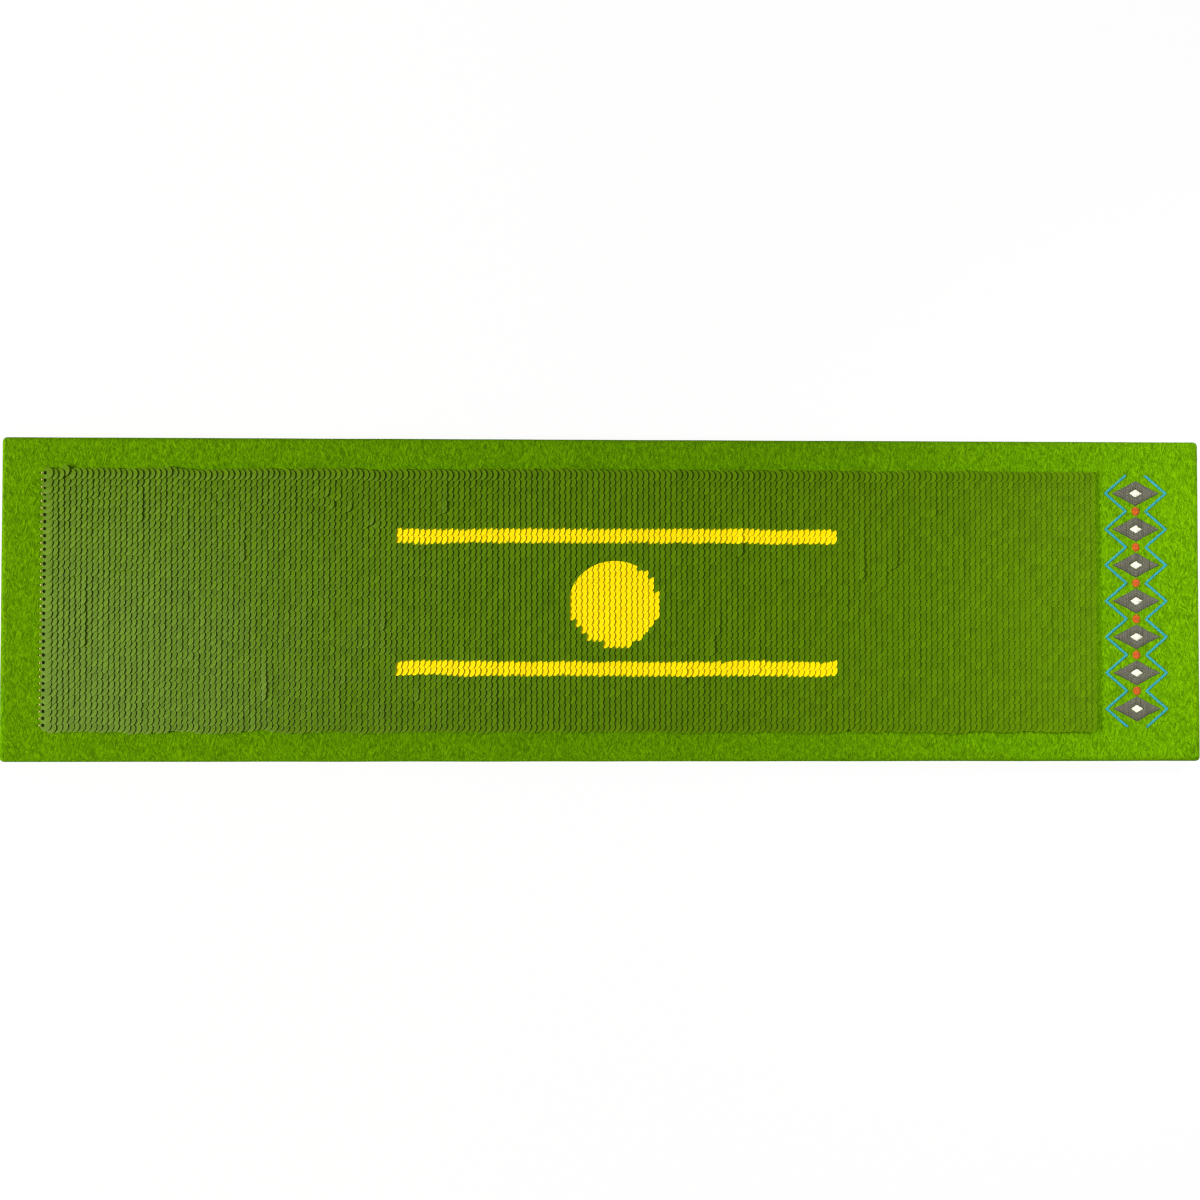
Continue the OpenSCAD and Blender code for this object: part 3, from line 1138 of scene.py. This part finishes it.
@dataclass
class FeltCover:
    """The felt: one sheet over the top and the sides, folded under the plate as a hem."""

    felt_t: float = 1.4
    hem_w: float = 18.0
    corner_r: float = 2.4
    least_r: float = 0.02
    top_edge_r: float = 2.6
    bottom_edge_r: float = 1.6
    border: float = 30.0
    # Size of the sheet before its corners are cut, in metres
    flat_size: tuple[float, float] = (0.228, 0.674)
    # How closely the mesh follows the sheet
    cell: float = 2.0
    border_cell: float = 1.5
    corner_steps: int = 7
    hem_steps: int = 7
    bottom_steps: int = 5
    side_steps: int = 6
    top_steps: int = 7
    middle_steps: int = 6
    inner_insets: tuple[float, ...] = (40.0, 10.0, 3.0)
    inner_drop: float = 4.0
    inner_rise: float = 2.0
    inner_hem: float = 6.0
    crease_angle: float = 60.0
    merge: float = 0.001
    merge_least: float = 0.0001
    top_play: float = 0.01
    # Where the felt is loose, and how it swells there
    loose_border: tuple[float, float] = (20.0, 12.0)
    loose_end: tuple[float, float] = (256.0, 262.0)
    loose_end_share: float = 0.6
    wave: float = 0.1
    wave_size: float = 17.0
    wave_level: float = 0.3
    # How the felt is drawn in and out along the board's sides
    sway: float = 0.1
    sway_size: float = 38.0
    sway_level: float = 4.1
    sway_in: float = 0.35
    sway_reach: float = 4.0
    sway_from: float = 0.5
    creases: tuple[Crease, ...] = (
        Crease((268, 34), (301, 12), 0.22, 1.4),
        Crease((258, 62), (262, 79), 0.2, 1.2),
        Crease((276, -20), (300, -34), 0.16, 1.5),
        Crease((120, -79), (134, -70), 0.18, 1.2),
    )
    finish: FeltFinish = FeltFinish()

    def __post_init__(self) -> None:
        """Takes the outside sizes from the frame."""
        low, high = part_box("felt_cover")
        self.length = (high.x - low.x) / MM
        self.width = (high.y - low.y) / MM
        self.low = low.z / MM
        self.top = high.z / MM

    def outline(self, inset: float) -> np.ndarray:
        """Makes a closed outline inside the board's own.

        Args:
            inset: Its distance from the board's outline.

        Returns:
            The same number of points for any inset, counter-clockwise.
        """
        half_l = self.length / 2 - inset
        half_w = max(self.width / 2 - inset, 0)
        radius = min(max(self.corner_r - inset, self.least_r), half_w)
        arcs = []
        for quarter, way in enumerate(((1, 1), (-1, 1), (-1, -1), (1, -1))):
            centre = np.array([half_l - radius, half_w - radius]) * way
            angles = np.linspace(quarter, quarter + 1, self.corner_steps) * math.pi / 2
            arcs.append(centre + radius * np.column_stack([np.cos(angles), np.sin(angles)]))
        sides = [round(side / self.cell) for side in (self.length, self.width)] * 2
        points = []
        for arc, after, steps in zip(arcs, arcs[1:] + arcs[:1], sides):
            shares = np.linspace(0, 1, steps + 1)[1:-1, None]
            points += [arc, arc[-1] + (after[0] - arc[-1]) * shares]
        return np.concatenate(points)

    def profile(self) -> list[tuple[float, float]]:
        """Makes the sheet's section, from the inner edge of the hem round the outside to the middle and back.

        Returns:
            Pairs of inset and height.
        """
        low, top = self.low, self.top
        under, over = self.bottom_edge_r, self.top_edge_r
        quarter, half_w = math.pi / 2, self.width / 2
        outer = [(inset, low) for inset in np.linspace(self.hem_w, under, self.hem_steps)]
        outer += [(under - under * math.sin(a), low + under - under * math.cos(a))
                  for a in np.linspace(0, quarter, self.bottom_steps)[1:]]
        outer += [(0, z) for z in np.linspace(low + under, top - over, self.side_steps)[1:]]
        outer += [(over - over * math.cos(a), top - over + over * math.sin(a))
                  for a in np.linspace(0, quarter, self.top_steps)[1:]]
        outer += [(inset, top) for inset in np.arange(over + self.border_cell, self.border, self.border_cell)]
        outer += [(inset, top) for inset in np.linspace(self.border, half_w, self.middle_steps)]
        floor = low + self.felt_t
        inner = [(inset, top - self.felt_t) for inset in (half_w, *self.inner_insets, self.felt_t)]
        inner += [(self.felt_t, z) for z in (top - self.inner_drop, floor + self.inner_rise)]
        inner += [(inset, floor) for inset in (self.felt_t, self.inner_hem, self.hem_w)]
        return outer + inner

    def relief(self, points: np.ndarray) -> np.ndarray:
        """Moves the outside a little, as felt that is pulled over an edge by hand does.

        Args:
            points: The sheet's points.

        Returns:
            The moved points.
        """
        moved = points.copy()
        x, y, z = points.T
        inset_x = self.length / 2 - np.abs(x)
        inset_y = self.width / 2 - np.abs(y)
        inset = np.minimum(inset_x, inset_y)
        on_top = z > self.top - self.top_play
        loose = np.maximum(ramp(inset, *self.loose_border), ramp(x, *self.loose_end) * self.loose_end_share)
        moved[:, 2] += self.wave * hills(x, y, self.wave_size, self.wave_level) * loose * on_top
        for crease in self.creases:
            moved[:, 2] += crease.lift(x, y) * on_top
        near_edge = ramp(inset, self.sway_reach, 0) * (z > self.low + self.sway_from)
        drawn = self.sway * (hills(x, y, self.sway_size, self.sway_level) - self.sway_in) * near_edge
        at_end = inset_x < inset_y
        moved[:, 0] += np.where(at_end, np.sign(x) * drawn, 0)
        moved[:, 1] += np.where(at_end, 0, np.sign(y) * drawn)
        return moved

    def build(self) -> None:
        """Makes the sheet."""
        rings = []
        for inset, height in self.profile():
            flat = self.outline(inset)
            rings.append(np.column_stack([flat, np.full(len(flat), height)]))
        points = self.relief(np.concatenate(rings)) * MM
        numbers = ring_numbers(len(rings), len(rings[0]))
        mesh = bpy.data.meshes.new("felt_sheet")
        mesh.from_pydata(points.tolist(), [], skin(numbers + numbers[:1]))
        mesh.materials.append(self.finish.material())
        self.tidy(mesh)
        piece = in_scene("felt_sheet", mesh)
        seat(piece, MAIN_BODY, "felt", "felt_cover")

    def tidy(self, mesh: Mesh) -> None:
        """Merges the points that meet along the middle line and shades the mesh smooth.

        Args:
            mesh: The sheet's mesh.
        """
        work = bmesh.new()
        work.from_mesh(mesh)
        bmesh.ops.remove_doubles(work, verts=work.verts, dist=self.merge * MM)
        bmesh.ops.dissolve_degenerate(work, edges=work.edges, dist=self.merge_least * MM)
        bmesh.ops.recalc_face_normals(work, faces=work.faces)
        work.to_mesh(mesh)
        work.free()
        mesh.polygons.foreach_set("use_smooth", np.ones(len(mesh.polygons), bool))
        mesh.set_sharp_from_angle(angle=math.radians(self.crease_angle))


@dataclass
class Thread:
    """A run of thread: a tube along a line of points."""

    radius: float
    sides: int = 6
    lay_length: float = 0.9
    bake_margin: float = 0.05

    def along(self, path: np.ndarray, across: np.ndarray) -> Shape:
        """Sweeps the thread along a path.

        Args:
            path: The points of its middle line, in metres.
            across: A direction square to the path that the section's width lies on.

        Returns:
            The closed tube.
        """
        forward = np.gradient(path, axis=0)
        forward /= np.linalg.norm(forward, axis=1)[:, None]
        wide = across / np.linalg.norm(across)
        up = np.cross(forward, wide)
        up /= np.linalg.norm(up, axis=1)[:, None]
        angles = np.linspace(0, math.tau, self.sides, endpoint=False)
        section = np.cos(angles)[None, :, None] * wide + np.sin(angles)[None, :, None] * up[:, None, :]
        points = (path[:, None, :] + section * self.radius * MM).reshape(-1, 3)
        numbers = ring_numbers(len(path), self.sides)
        faces = [numbers[0][::-1]] + skin(numbers) + [numbers[-1]]
        steps = np.linalg.norm(np.diff(path, axis=0), axis=1)
        run = np.concatenate([[0], np.cumsum(steps)])
        twist = run[:, None] / (self.lay_length * MM) + angles[None, :] / math.tau
        cap = [(0.5, 0.5)] * self.sides
        uv = cap + grid_uv(len(path) - 1, self.sides, self.bake_margin) + cap
        return Shape.from_faces(points, faces, None, uv, {"twist": twist.ravel()})


def rounded_path(points: tuple[tuple[float, float], ...], count: int) -> np.ndarray:
    """Runs a smooth curve through points.

    Args:
        points: Places on the curve, across and up.
        count: How many points come back.

    Returns:
        The curve's points.
    """
    knots = np.array(points, float)
    padded = np.vstack([2 * knots[0] - knots[1], knots, 2 * knots[-1] - knots[-2]])
    curve = []
    for share in np.linspace(0, len(knots) - 1, count):
        at = min(int(share), len(knots) - 2)
        t = share - at
        p0, p1, p2, p3 = padded[at:at + 4]
        curve.append(0.5 * (2 * p1 + (p2 - p0) * t + (2 * p0 - 5 * p1 + 4 * p2 - p3) * t * t
                            + (3 * p1 - p0 - 3 * p2 + p3) * t ** 3))
    return np.array(curve)


@dataclass
class Stitching:
    """The cream thread that holds each sequin by its margin, and dark marks on the felt that paint the shade
    of the needle holes and of the felt under the first column's thread holes.
    """

    field: SequinField
    # The loop that a turning sequin swings in
    ring_r: float = 0.38
    ring_w: float = 0.16
    ring_t: float = 0.05
    ring_steps: int = 12
    ring_sides: int = 6
    ring_twist: float = 0.7
    # The tight stitch over a margin in the first column, and the slack pair that goes down beside it
    tight_r: float = 0.09
    tight_path: tuple[tuple[float, float], ...] = (
        (0.4, -0.5), (0.42, 0.0), (0.28, 0.17), (0.0, 0.17), (-0.35, 0.14))
    slack_r: float = 0.2
    slack_path: tuple[tuple[float, float], ...] = (
        (-0.16, -0.02), (-0.3, 0.2), (-0.56, 0.28), (-0.8, 0.08), (-0.9, -0.75))
    slack_aside: float = 0.95
    path_points: int = 13
    path_sides: int = 7
    # The needle's marks, whose levels are shares of the radius and heights, and whose dark colour is painted
    # shade
    mark_x: float = -1.55
    mark_r: float = 0.42
    # A disc of painted shade on the felt under each thread hole of the first column
    hole_shade_x: float = 1.2
    hole_shade_r: float = 1.05
    mark_corners: int = 10
    mark_flat: float = 0.85
    mark_levels: tuple[tuple[float, float], ...] = ((1.0, -0.03), (0.8, 0.04), (0.55, 0.035), (0.2, 0.015))
    finish: ThreadFinish = ThreadFinish("sewing_polyester", "#a89a58", "#ded488")
    # The dark colours of the painted shade at the needle holes and under the thread holes
    shade_paint_finish: ThreadFinish = ThreadFinish("painted_shade_felt", "#16260a", "#2c4408", roughness=0.95, sheen=0.0)

    def ring(self) -> Shape:
        """Makes the loop that a sequin turns in, about its hinge line.

        Returns:
            The shape.
        """
        steps, sides = self.ring_steps, self.ring_sides
        out, turn = np.meshgrid(
            np.linspace(0, math.tau, sides, endpoint=False), np.linspace(0, math.tau, steps, endpoint=False))
        reach = self.ring_r + self.ring_t * np.sin(out)
        points = np.stack([np.cos(turn) * reach, self.ring_w * np.cos(out), np.sin(turn) * reach], 2)
        numbers = ring_numbers(steps, sides)
        twist = turn * self.ring_twist + out / math.tau
        return Shape.from_faces(
            points.reshape(-1, 3) * MM, skin(numbers + numbers[:1]), None, grid_uv(steps, sides),
            {"twist": twist.ravel()})

    def arch(self) -> Shape:
        """Makes a stitch that is drawn tight over the margin and bulges where it goes down beside the rim.

        Returns:
            The shape.
        """
        aside = self.slack_aside * self.slack_r
        runs = (
            (self.tight_path, self.tight_r, 0.0),
            (self.slack_path, self.slack_r, -aside),
            (self.slack_path, self.slack_r, aside),
        )
        strands = []
        for points, radius, y in runs:
            curve = rounded_path(points, self.path_points)
            path = np.stack([curve[:, 0], np.full(len(curve), y), curve[:, 1]], 1) * MM
            strands.append(Thread(radius, self.path_sides).along(path, np.array([0.0, 1.0, 0.0])))
        return Shape.joined(strands)

    def mark(self, radius: float) -> Shape:
        """Makes a needle's mark on the felt: a low disc with a soft raised lip, whose dark colour is painted
        shade.

        Args:
            radius: Its radius.

        Returns:
            The shape.
        """
        angles = np.linspace(0, math.tau, self.mark_corners, endpoint=False)
        circle = np.column_stack([np.cos(angles), np.sin(angles) * self.mark_flat]) * radius
        rings = [np.column_stack([circle * share, np.full(len(angles), z)]) for share, z in self.mark_levels]
        numbers = ring_numbers(len(rings), len(angles))
        faces = skin(numbers) + [numbers[-1]]
        points = np.concatenate(rings)
        uv = 0.5 + points[np.concatenate(faces), :2] / (3 * radius)
        return Shape.from_faces(points * MM, faces, None, uv, {"twist": np.zeros(len(points))})

    def copies(self, shape: Shape, column: int, level: float, shift: float = 0.0) -> Shape:
        """Copies a stitch to every row of a column.

        Args:
            shape: The stitch.
            column: The column, counted from 1.
            level: Its height in metres.
            shift: Its distance along X from the hinge line.

        Returns:
            The stitches as one shape.
        """
        field = self.field
        x = field.column_x(column) + field.shift_x[column - 1, 0] + shift * MM
        y = field.row_y(np.arange(1, field.rows + 1)) + field.shift_y[column - 1]
        places = np.stack([np.full(field.rows, x), y, np.full(field.rows, level)], 1)
        turns = np.broadcast_to(np.eye(3), (field.rows, 3, 3))
        return shape.stamped(turns, places, {"tone": field.tone[column - 1]})

    def build(self) -> None:
        """Makes the stitches that show and the dark marks of painted shade on the felt."""
        field = self.field
        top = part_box("felt_cover")[1].z
        ring = self.ring()
        after = field.flip_end + 1
        ends = [self.copies(self.arch(), 1, field.hinge_z), self.copies(ring, after, field.hinge_z)]
        turning = [self.copies(ring, column, field.hinge_z) for column in range(field.flip_start, after)]
        # Dark discs of painted shade: one at each needle hole beside a stitch, one under each thread hole of
        # the first column
        marks = [self.copies(self.mark(radius), 1, top, x)
                 for x, radius in ((self.mark_x, self.mark_r), (self.hole_shade_x, self.hole_shade_r))]
        thread, shade_paint = self.finish.material(), self.shade_paint_finish.material()
        for name, shapes, material, slot, nodes in (
            ("end_stitches", ends, thread, "sewing_thread", ["edge_stitches"]),
            ("turning_stitches", turning, thread, "sewing_thread", ["flip_stitches"]),
            ("painted_hole_shade", marks, shade_paint, "felt", []),
        ):
            seat(Shape.joined(shapes).piece(name, [material]), MAIN_BODY, slot, *nodes)


@dataclass
class Embroidery:
    """The band at the right end: lozenges, their centres, zigzag lines and dots in satin stitch."""

    lozenge_count: int = 7
    lozenge_l: float = 13.0
    lozenge_w: float = 24.0
    lozenge_pitch: float = 18.4
    centre_l: float = 4.0
    centre_w: float = 7.0
    line_w: float = 1.1
    line_slant: float = 0.45
    zigzag_in: float = 5.0
    zigzag_out: float = 15.6
    dot_d: float = 4.2
    dot_least: float = 0.2
    # One thread, which rises from its hole, lies over the felt and dives into the next hole
    satin_h: float = 0.7
    satin_gap: float = 0.05
    strand_r: float = 0.21
    strand_lay: float = 1.4
    spacing: float = 0.33
    needle_play: float = 0.07
    dive: float = 0.3
    dive_steep: int = 12
    rise_steep: int = 4
    short_rise: float = 0.45
    full_rise_l: float = 6.0
    step_l: float = 1.4
    steps: tuple[int, int] = (4, 9)
    tone_middle: float = 0.5
    tone_spread: float = 0.22

    def __post_init__(self) -> None:
        """Takes the band's place from the frame."""
        low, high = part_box("embroidered_lozenges")
        self.middle = (low.x + high.x) / 2 / MM
        self.top = low.z / MM
        self.draws = np.random.default_rng(SEED + 1)

    def lozenge_y(self, index: int) -> float:
        """Returns the middle of a lozenge across the board, counted from 1."""
        return (index - (self.lozenge_count + 1) / 2) * self.lozenge_pitch

    def strand(self, start: tuple[float, float], end: tuple[float, float]) -> Shape:
        """Lays one thread over the felt, from hole to hole.

        Args:
            start: Where it comes up, from the middle of the band.
            end: Where it goes down.

        Returns:
            The thread.
        """
        first, last = (np.array(hole) + self.draws.normal(0, self.needle_play, 2) for hole in (start, end))
        length = float(np.linalg.norm(last - first))
        steps = int(np.clip(round(length / self.step_l), *self.steps))
        share = 0.5 - 0.5 * np.cos(np.linspace(0, math.pi, steps + 1))
        from_middle = np.abs(2 * share - 1)
        rise = (self.satin_h - self.strand_r - self.satin_gap) * (1 - from_middle ** self.rise_steep)
        arch = rise * min(1.0, self.short_rise + length / self.full_rise_l)
        drop = self.dive * from_middle ** self.dive_steep
        flat = first[None, :] + (last - first)[None, :] * share[:, None]
        path = np.column_stack([flat[:, 0] + self.middle, flat[:, 1], self.top + arch - drop]) * MM
        along = (last - first) / length
        across = np.array([-along[1], along[0], 0.0])
        shape = Thread(self.strand_r, lay_length=self.strand_lay).along(path, across)
        tone = float(np.clip(self.draws.normal(self.tone_middle, self.tone_spread), 0, 1))
        shape.marks["tone"] = np.full(len(shape.points), tone)
        return shape

    def patch(self, length: float, width: float, y: float, run: Run, gap: tuple[float, float]) -> list[Shape]:
        """Fills a lozenge with threads.

        Args:
            length: Its length across the board.
            width: Its width along the board.
            y: Its middle across the board.
            run: Which way the threads run.
            gap: Length and width of a lozenge in its middle that stays open.

        Returns:
            The threads.
        """
        reach, other, gap_reach, gap_other = width / 2, length / 2, gap[1] / 2, gap[0] / 2
        if run is Run.ALONG:
            reach, other, gap_reach, gap_other = other, reach, gap_other, gap_reach
        strands = []
        for at in np.arange(-reach + self.spacing, reach - self.spacing / 2, self.spacing):
            half = other * (1 - abs(at) / reach)
            hollow = gap_other * (1 - abs(at) / gap_reach) if gap_reach > abs(at) else 0.0
            spans = [(-half, half)] if hollow <= 0 else [(-half, -hollow), (hollow, half)]
            for low, high in spans:
                if run is Run.ACROSS:
                    strands.append(self.strand((at, low + y), (at, high + y)))
                else:
                    strands.append(self.strand((low, at + y), (high, at + y)))
        return strands

    def line(self, start: tuple[float, float], end: tuple[float, float]) -> list[Shape]:
        """Lays a narrow line of slanting satin stitches.

        Args:
            start: Where it starts.
            end: Where it ends.

        Returns:
            The threads.
        """
        run = np.subtract(end, start)
        length = float(np.linalg.norm(run))
        ahead = run / length
        half = np.array([-ahead[1], ahead[0]]) * self.line_w / 2
        slant = self.line_slant * self.line_w * ahead
        strands = []
        for at in np.arange(0, length, self.spacing):
            here = np.array(start) + ahead * at
            strands.append(self.strand(tuple(here - half - slant), tuple(here + half + slant)))
        return strands

    def dot(self, y: float) -> list[Shape]:
        """Fills a small round dot with threads along the board.

        Args:
            y: Its middle across the board.

        Returns:
            The threads.
        """
        radius = self.dot_d / 2
        strands = []
        for at in np.arange(-radius + self.spacing / 2, radius, self.spacing):
            half = math.sqrt(max(radius * radius - at * at, self.dot_least ** 2))
            strands.append(self.strand((-half, y + at), (half, y + at)))
        return strands

    def build(self) -> None:
        """Makes the band."""
        step = self.lozenge_pitch / 2
        centre = (self.centre_l, self.centre_w)
        lozenges, centres, zigzags, dots = [], [], [], []
        for index in range(1, self.lozenge_count + 1):
            y = self.lozenge_y(index)
            lozenges += self.patch(self.lozenge_l, self.lozenge_w, y, Run.ACROSS, centre)
            centres += self.patch(*centre, y, Run.ALONG, (0.0, 0.0))
            for side in (-1, 1):
                for way in (-1, 1):
                    zigzags += self.line((side * self.zigzag_out, y), (side * self.zigzag_in, y + way * step))
            if index < self.lozenge_count:
                dots += self.dot(y + step)
        for name, strands, slot, node, shade, body in (
            ("lozenge_threads", lozenges, "charcoal_thread", "embroidered_lozenges", "#424237", "#676758"),
            ("centre_threads", centres, "cream_thread", "embroidered_centres", "#c4bfae", "#f1eee0"),
            ("zigzag_threads", zigzags, "teal_thread", "embroidered_zigzags", "#15747f", "#2fa1ad"),
            ("dot_threads", dots, "orange_thread", "embroidered_dots", "#983e00", "#c85c00"),
        ):
            material = ThreadFinish(f"rayon_{slot}", shade, body).material()
            seat(Shape.joined(strands).piece(name, [material]), MAIN_BODY, slot, node)


@dataclass
class Core:
    """What the felt is stretched over: the foam pad, the stiff plate and the rubber sheet below."""

    cell: float = 8.0
    foam_edge: float = 0.8
    ease_share: float = 0.3
    foam_insets: tuple[float, ...] = (6.0, 20.0, 45.0, 80.5)
    foam_crease: float = 50.0
    # The bake coordinates, with the upper half of the foam above the lower one
    bake_share: float = 0.9
    bake_start: float = 0.05
    bake_shift: float = 0.3

    def foam(self) -> None:
        """Makes the foam pad, with eased edges where the felt presses it."""
        low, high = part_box("foam_pad")
        size = high - low
        ease = self.foam_edge * MM
        eased = ease * self.ease_share
        levels = [(inset * MM, 0.0) for inset in self.foam_insets[::-1]]
        levels += [(ease, 0.0), (0.0, ease), (0.0, size.z - ease), (eased, size.z - eased), (ease, size.z)]
        levels += [(inset * MM, size.z) for inset in self.foam_insets]
        steps_l, steps_w = (round(side / (self.cell * MM)) for side in (size.x, size.y))
        points = []
        for inset, z in levels:
            half_x, half_y = size.x / 2 - inset, size.y / 2 - inset
            across = np.linspace(-half_x, half_x, steps_l, endpoint=False)
            beside = np.linspace(-half_y, half_y, steps_w, endpoint=False)
            ring = [(x, -half_y) for x in across] + [(half_x, y) for y in beside]
            ring += [(-x, half_y) for x in across] + [(-half_x, -y) for y in beside]
            points += [(x, y, low.z + z) for x, y in ring]
        numbers = ring_numbers(len(levels), 2 * (steps_l + steps_w))
        shape = Shape.from_faces(np.array(points), [numbers[0][::-1]] + skin(numbers) + [numbers[-1]])
        span = np.ptp(shape.points, axis=0)
        flat = shape.points[shape.corners]
        shape.uv = (flat[:, :2] - shape.points[:, :2].min(0)) / max(span[:2])
        upper = flat[:, 2] > low.z + size.z / 2
        shape.uv[:, 1] = shape.uv[:, 1] * self.bake_share + self.bake_start + self.bake_shift * upper
        piece = shape.piece("foam_core", [FoamFinish().material()], self.foam_crease)
        seat(piece, MAIN_BODY, "foam", "foam_pad")

    def build(self) -> None:
        """Makes the foam and dresses the plate and the rubber sheet."""
        self.foam()
        for node, finish in (("base_plate", PlateFinish()), ("grip_sheet", RubberFinish())):
            plain = frame["nodes"][node]
            plain.data.materials.clear()
            plain.data.materials.append(finish.material())
            LOG.info("%s: dressed as %s", node, finish.name)


@dataclass(frozen=True)
class Lamp:
    """A square soft light: place, aim and side in metres, power in watts, spread in degrees and colour."""

    name: str
    place: tuple[float, float, float]
    target: tuple[float, float, float]
    size: float
    power: float
    spread: float = 180.0
    colour: str = "#ffffff"


@dataclass
class Studio:
    """The camera, the soft lights and the pale floor. Places and the floor's side are in metres."""

    lens: float = 58.15
    sensor: float = 36.0
    eye: tuple[float, float, float] = (-0.0348, -0.0318, 0.9984)
    aim: tuple[float, float, float] = (1.851, -1.856, 0.041)
    sky: float = 0.34
    lamps: tuple[Lamp, ...] = (
        Lamp("key", (-4.25, -0.6, 2.36), (0.0, 0.0, 0.0), 0.5, 215.0),
        Lamp("left_panel", (-0.95, 0.05, 0.74), (-0.28, 0.0, 0.0), 0.45, 6.2, 180.0, "#fff2c8"),
        Lamp("right_lamp", (0.5, 0.24, 0.45), (0.33, -0.02, 0.0), 0.2, 0.34, 50.0),
    )
    floor_size: float = 12.0
    floor_lap: float = 4.0
    floor_colour: str = "#f2f2f0"
    floor_roughness: float = 0.9
    floor_glow: float = 0.95
    pixel_blur: float = 1.3

    def camera(self) -> None:
        """Makes the camera at the photograph's place."""
        data = bpy.data.cameras.new("camera")
        data.lens = self.lens
        data.sensor_width = self.sensor
        made = in_scene("camera", data)
        made.location = self.eye
        made.rotation_euler = [math.radians(angle) for angle in self.aim]
        bpy.context.scene.camera = made

    def hang(self, lamp: Lamp) -> None:
        """Hangs a square soft light, out of the camera's sight.

        Args:
            lamp: What it is and where it hangs.
        """
        data = bpy.data.lights.new(lamp.name, "AREA")
        data.size = lamp.size
        data.energy = lamp.power
        data.spread = math.radians(lamp.spread)
        data.color = linear(lamp.colour)[:3]
        made = in_scene(lamp.name, data)
        made.location = lamp.place
        made.rotation_euler = (Vector(lamp.target) - Vector(lamp.place)).to_track_quat("-Z", "Y").to_euler()
        made.visible_camera = False

    def seen(self, tree: NodeTree) -> NodeSocket:
        """Adds a test of whether the camera, a reflection or a clear piece sees the background.

        Args:
            tree: The node tree.

        Returns:
            A socket that is 1 where one of them does.
        """
        path = add_node(tree, "ShaderNodeLightPath")
        total = path.outputs["Is Camera Ray"]
        for ray in ("Is Glossy Ray", "Is Transmission Ray"):
            total = add_node(tree, "ShaderNodeMath", {"operation": "MAXIMUM"}, {
                0: total, 1: path.outputs[ray]}).outputs[0]
        return total

    def world(self) -> None:
        """Makes an even soft sky, white where the camera sees it."""
        world = bpy.data.worlds.new("studio")
        world.use_nodes = True
        tree = world.node_tree
        path = add_node(tree, "ShaderNodeLightPath")
        level = add_node(tree, "ShaderNodeMapRange", inputs={
            "Value": path.outputs["Is Camera Ray"], "To Min": self.sky, "To Max": 1.0})
        feed(tree, tree.nodes["Background"], {"Color": (1, 1, 1, 1), "Strength": level.outputs["Result"]})
        bpy.context.scene.world = world

    def floor(self) -> None:
        """Makes the pale floor, nearly white to the camera, open under the mat to show its underside."""
        half = self.floor_size / 2
        low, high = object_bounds()
        lap = self.floor_lap * MM
        boxes = ((-half, -half, half, half), (low.x + lap, low.y + lap, high.x - lap, high.y - lap))
        corners = []
        for left, near, right, far in boxes:
            corners += [(left, near, 0), (right, near, 0), (right, far, 0), (left, far, 0)]
        mesh = bpy.data.meshes.new("floor")
        mesh.from_pydata(corners, [], band(*ring_numbers(2, 4)))
        material, tree, surface = new_material("pale_floor")
        feed(tree, surface, {"Base Color": linear(self.floor_colour), "Roughness": self.floor_roughness})
        glow = add_node(tree, "ShaderNodeEmission")
        share = add_node(tree, "ShaderNodeMath", {"operation": "MULTIPLY"}, {
            0: self.seen(tree), 1: self.floor_glow})
        both = add_node(tree, "ShaderNodeMixShader", inputs={
            0: share.outputs[0], 1: surface.outputs[0], 2: glow.outputs[0]})
        feed(tree, tree.nodes["Material Output"], {"Surface": both.outputs[0]})
        mesh.materials.append(material)
        in_scene("floor", mesh)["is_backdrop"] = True

    def build(self) -> None:
        """Sets up the whole studio."""
        self.camera()
        self.world()
        self.floor()
        for lamp in self.lamps:
            self.hang(lamp)
        bpy.context.scene.view_settings.view_transform = "Standard"
        # Rows this fine are smeared into stripes by the denoiser, so the picture is left as it is sampled
        bpy.context.scene.cycles.use_denoising = False
        bpy.context.scene.cycles.filter_width = self.pixel_blur


def main() -> None:
    """Builds the mat round the frame and notes its size."""
    logging.basicConfig(level=logging.INFO, format="%(message)s")
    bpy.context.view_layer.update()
    Studio().build()
    Core().build()
    FeltCover().build()
    field = SequinField()
    field.build()
    Stitching(field).build()
    Embroidery().build()


if __name__ == "__main__":
    main()
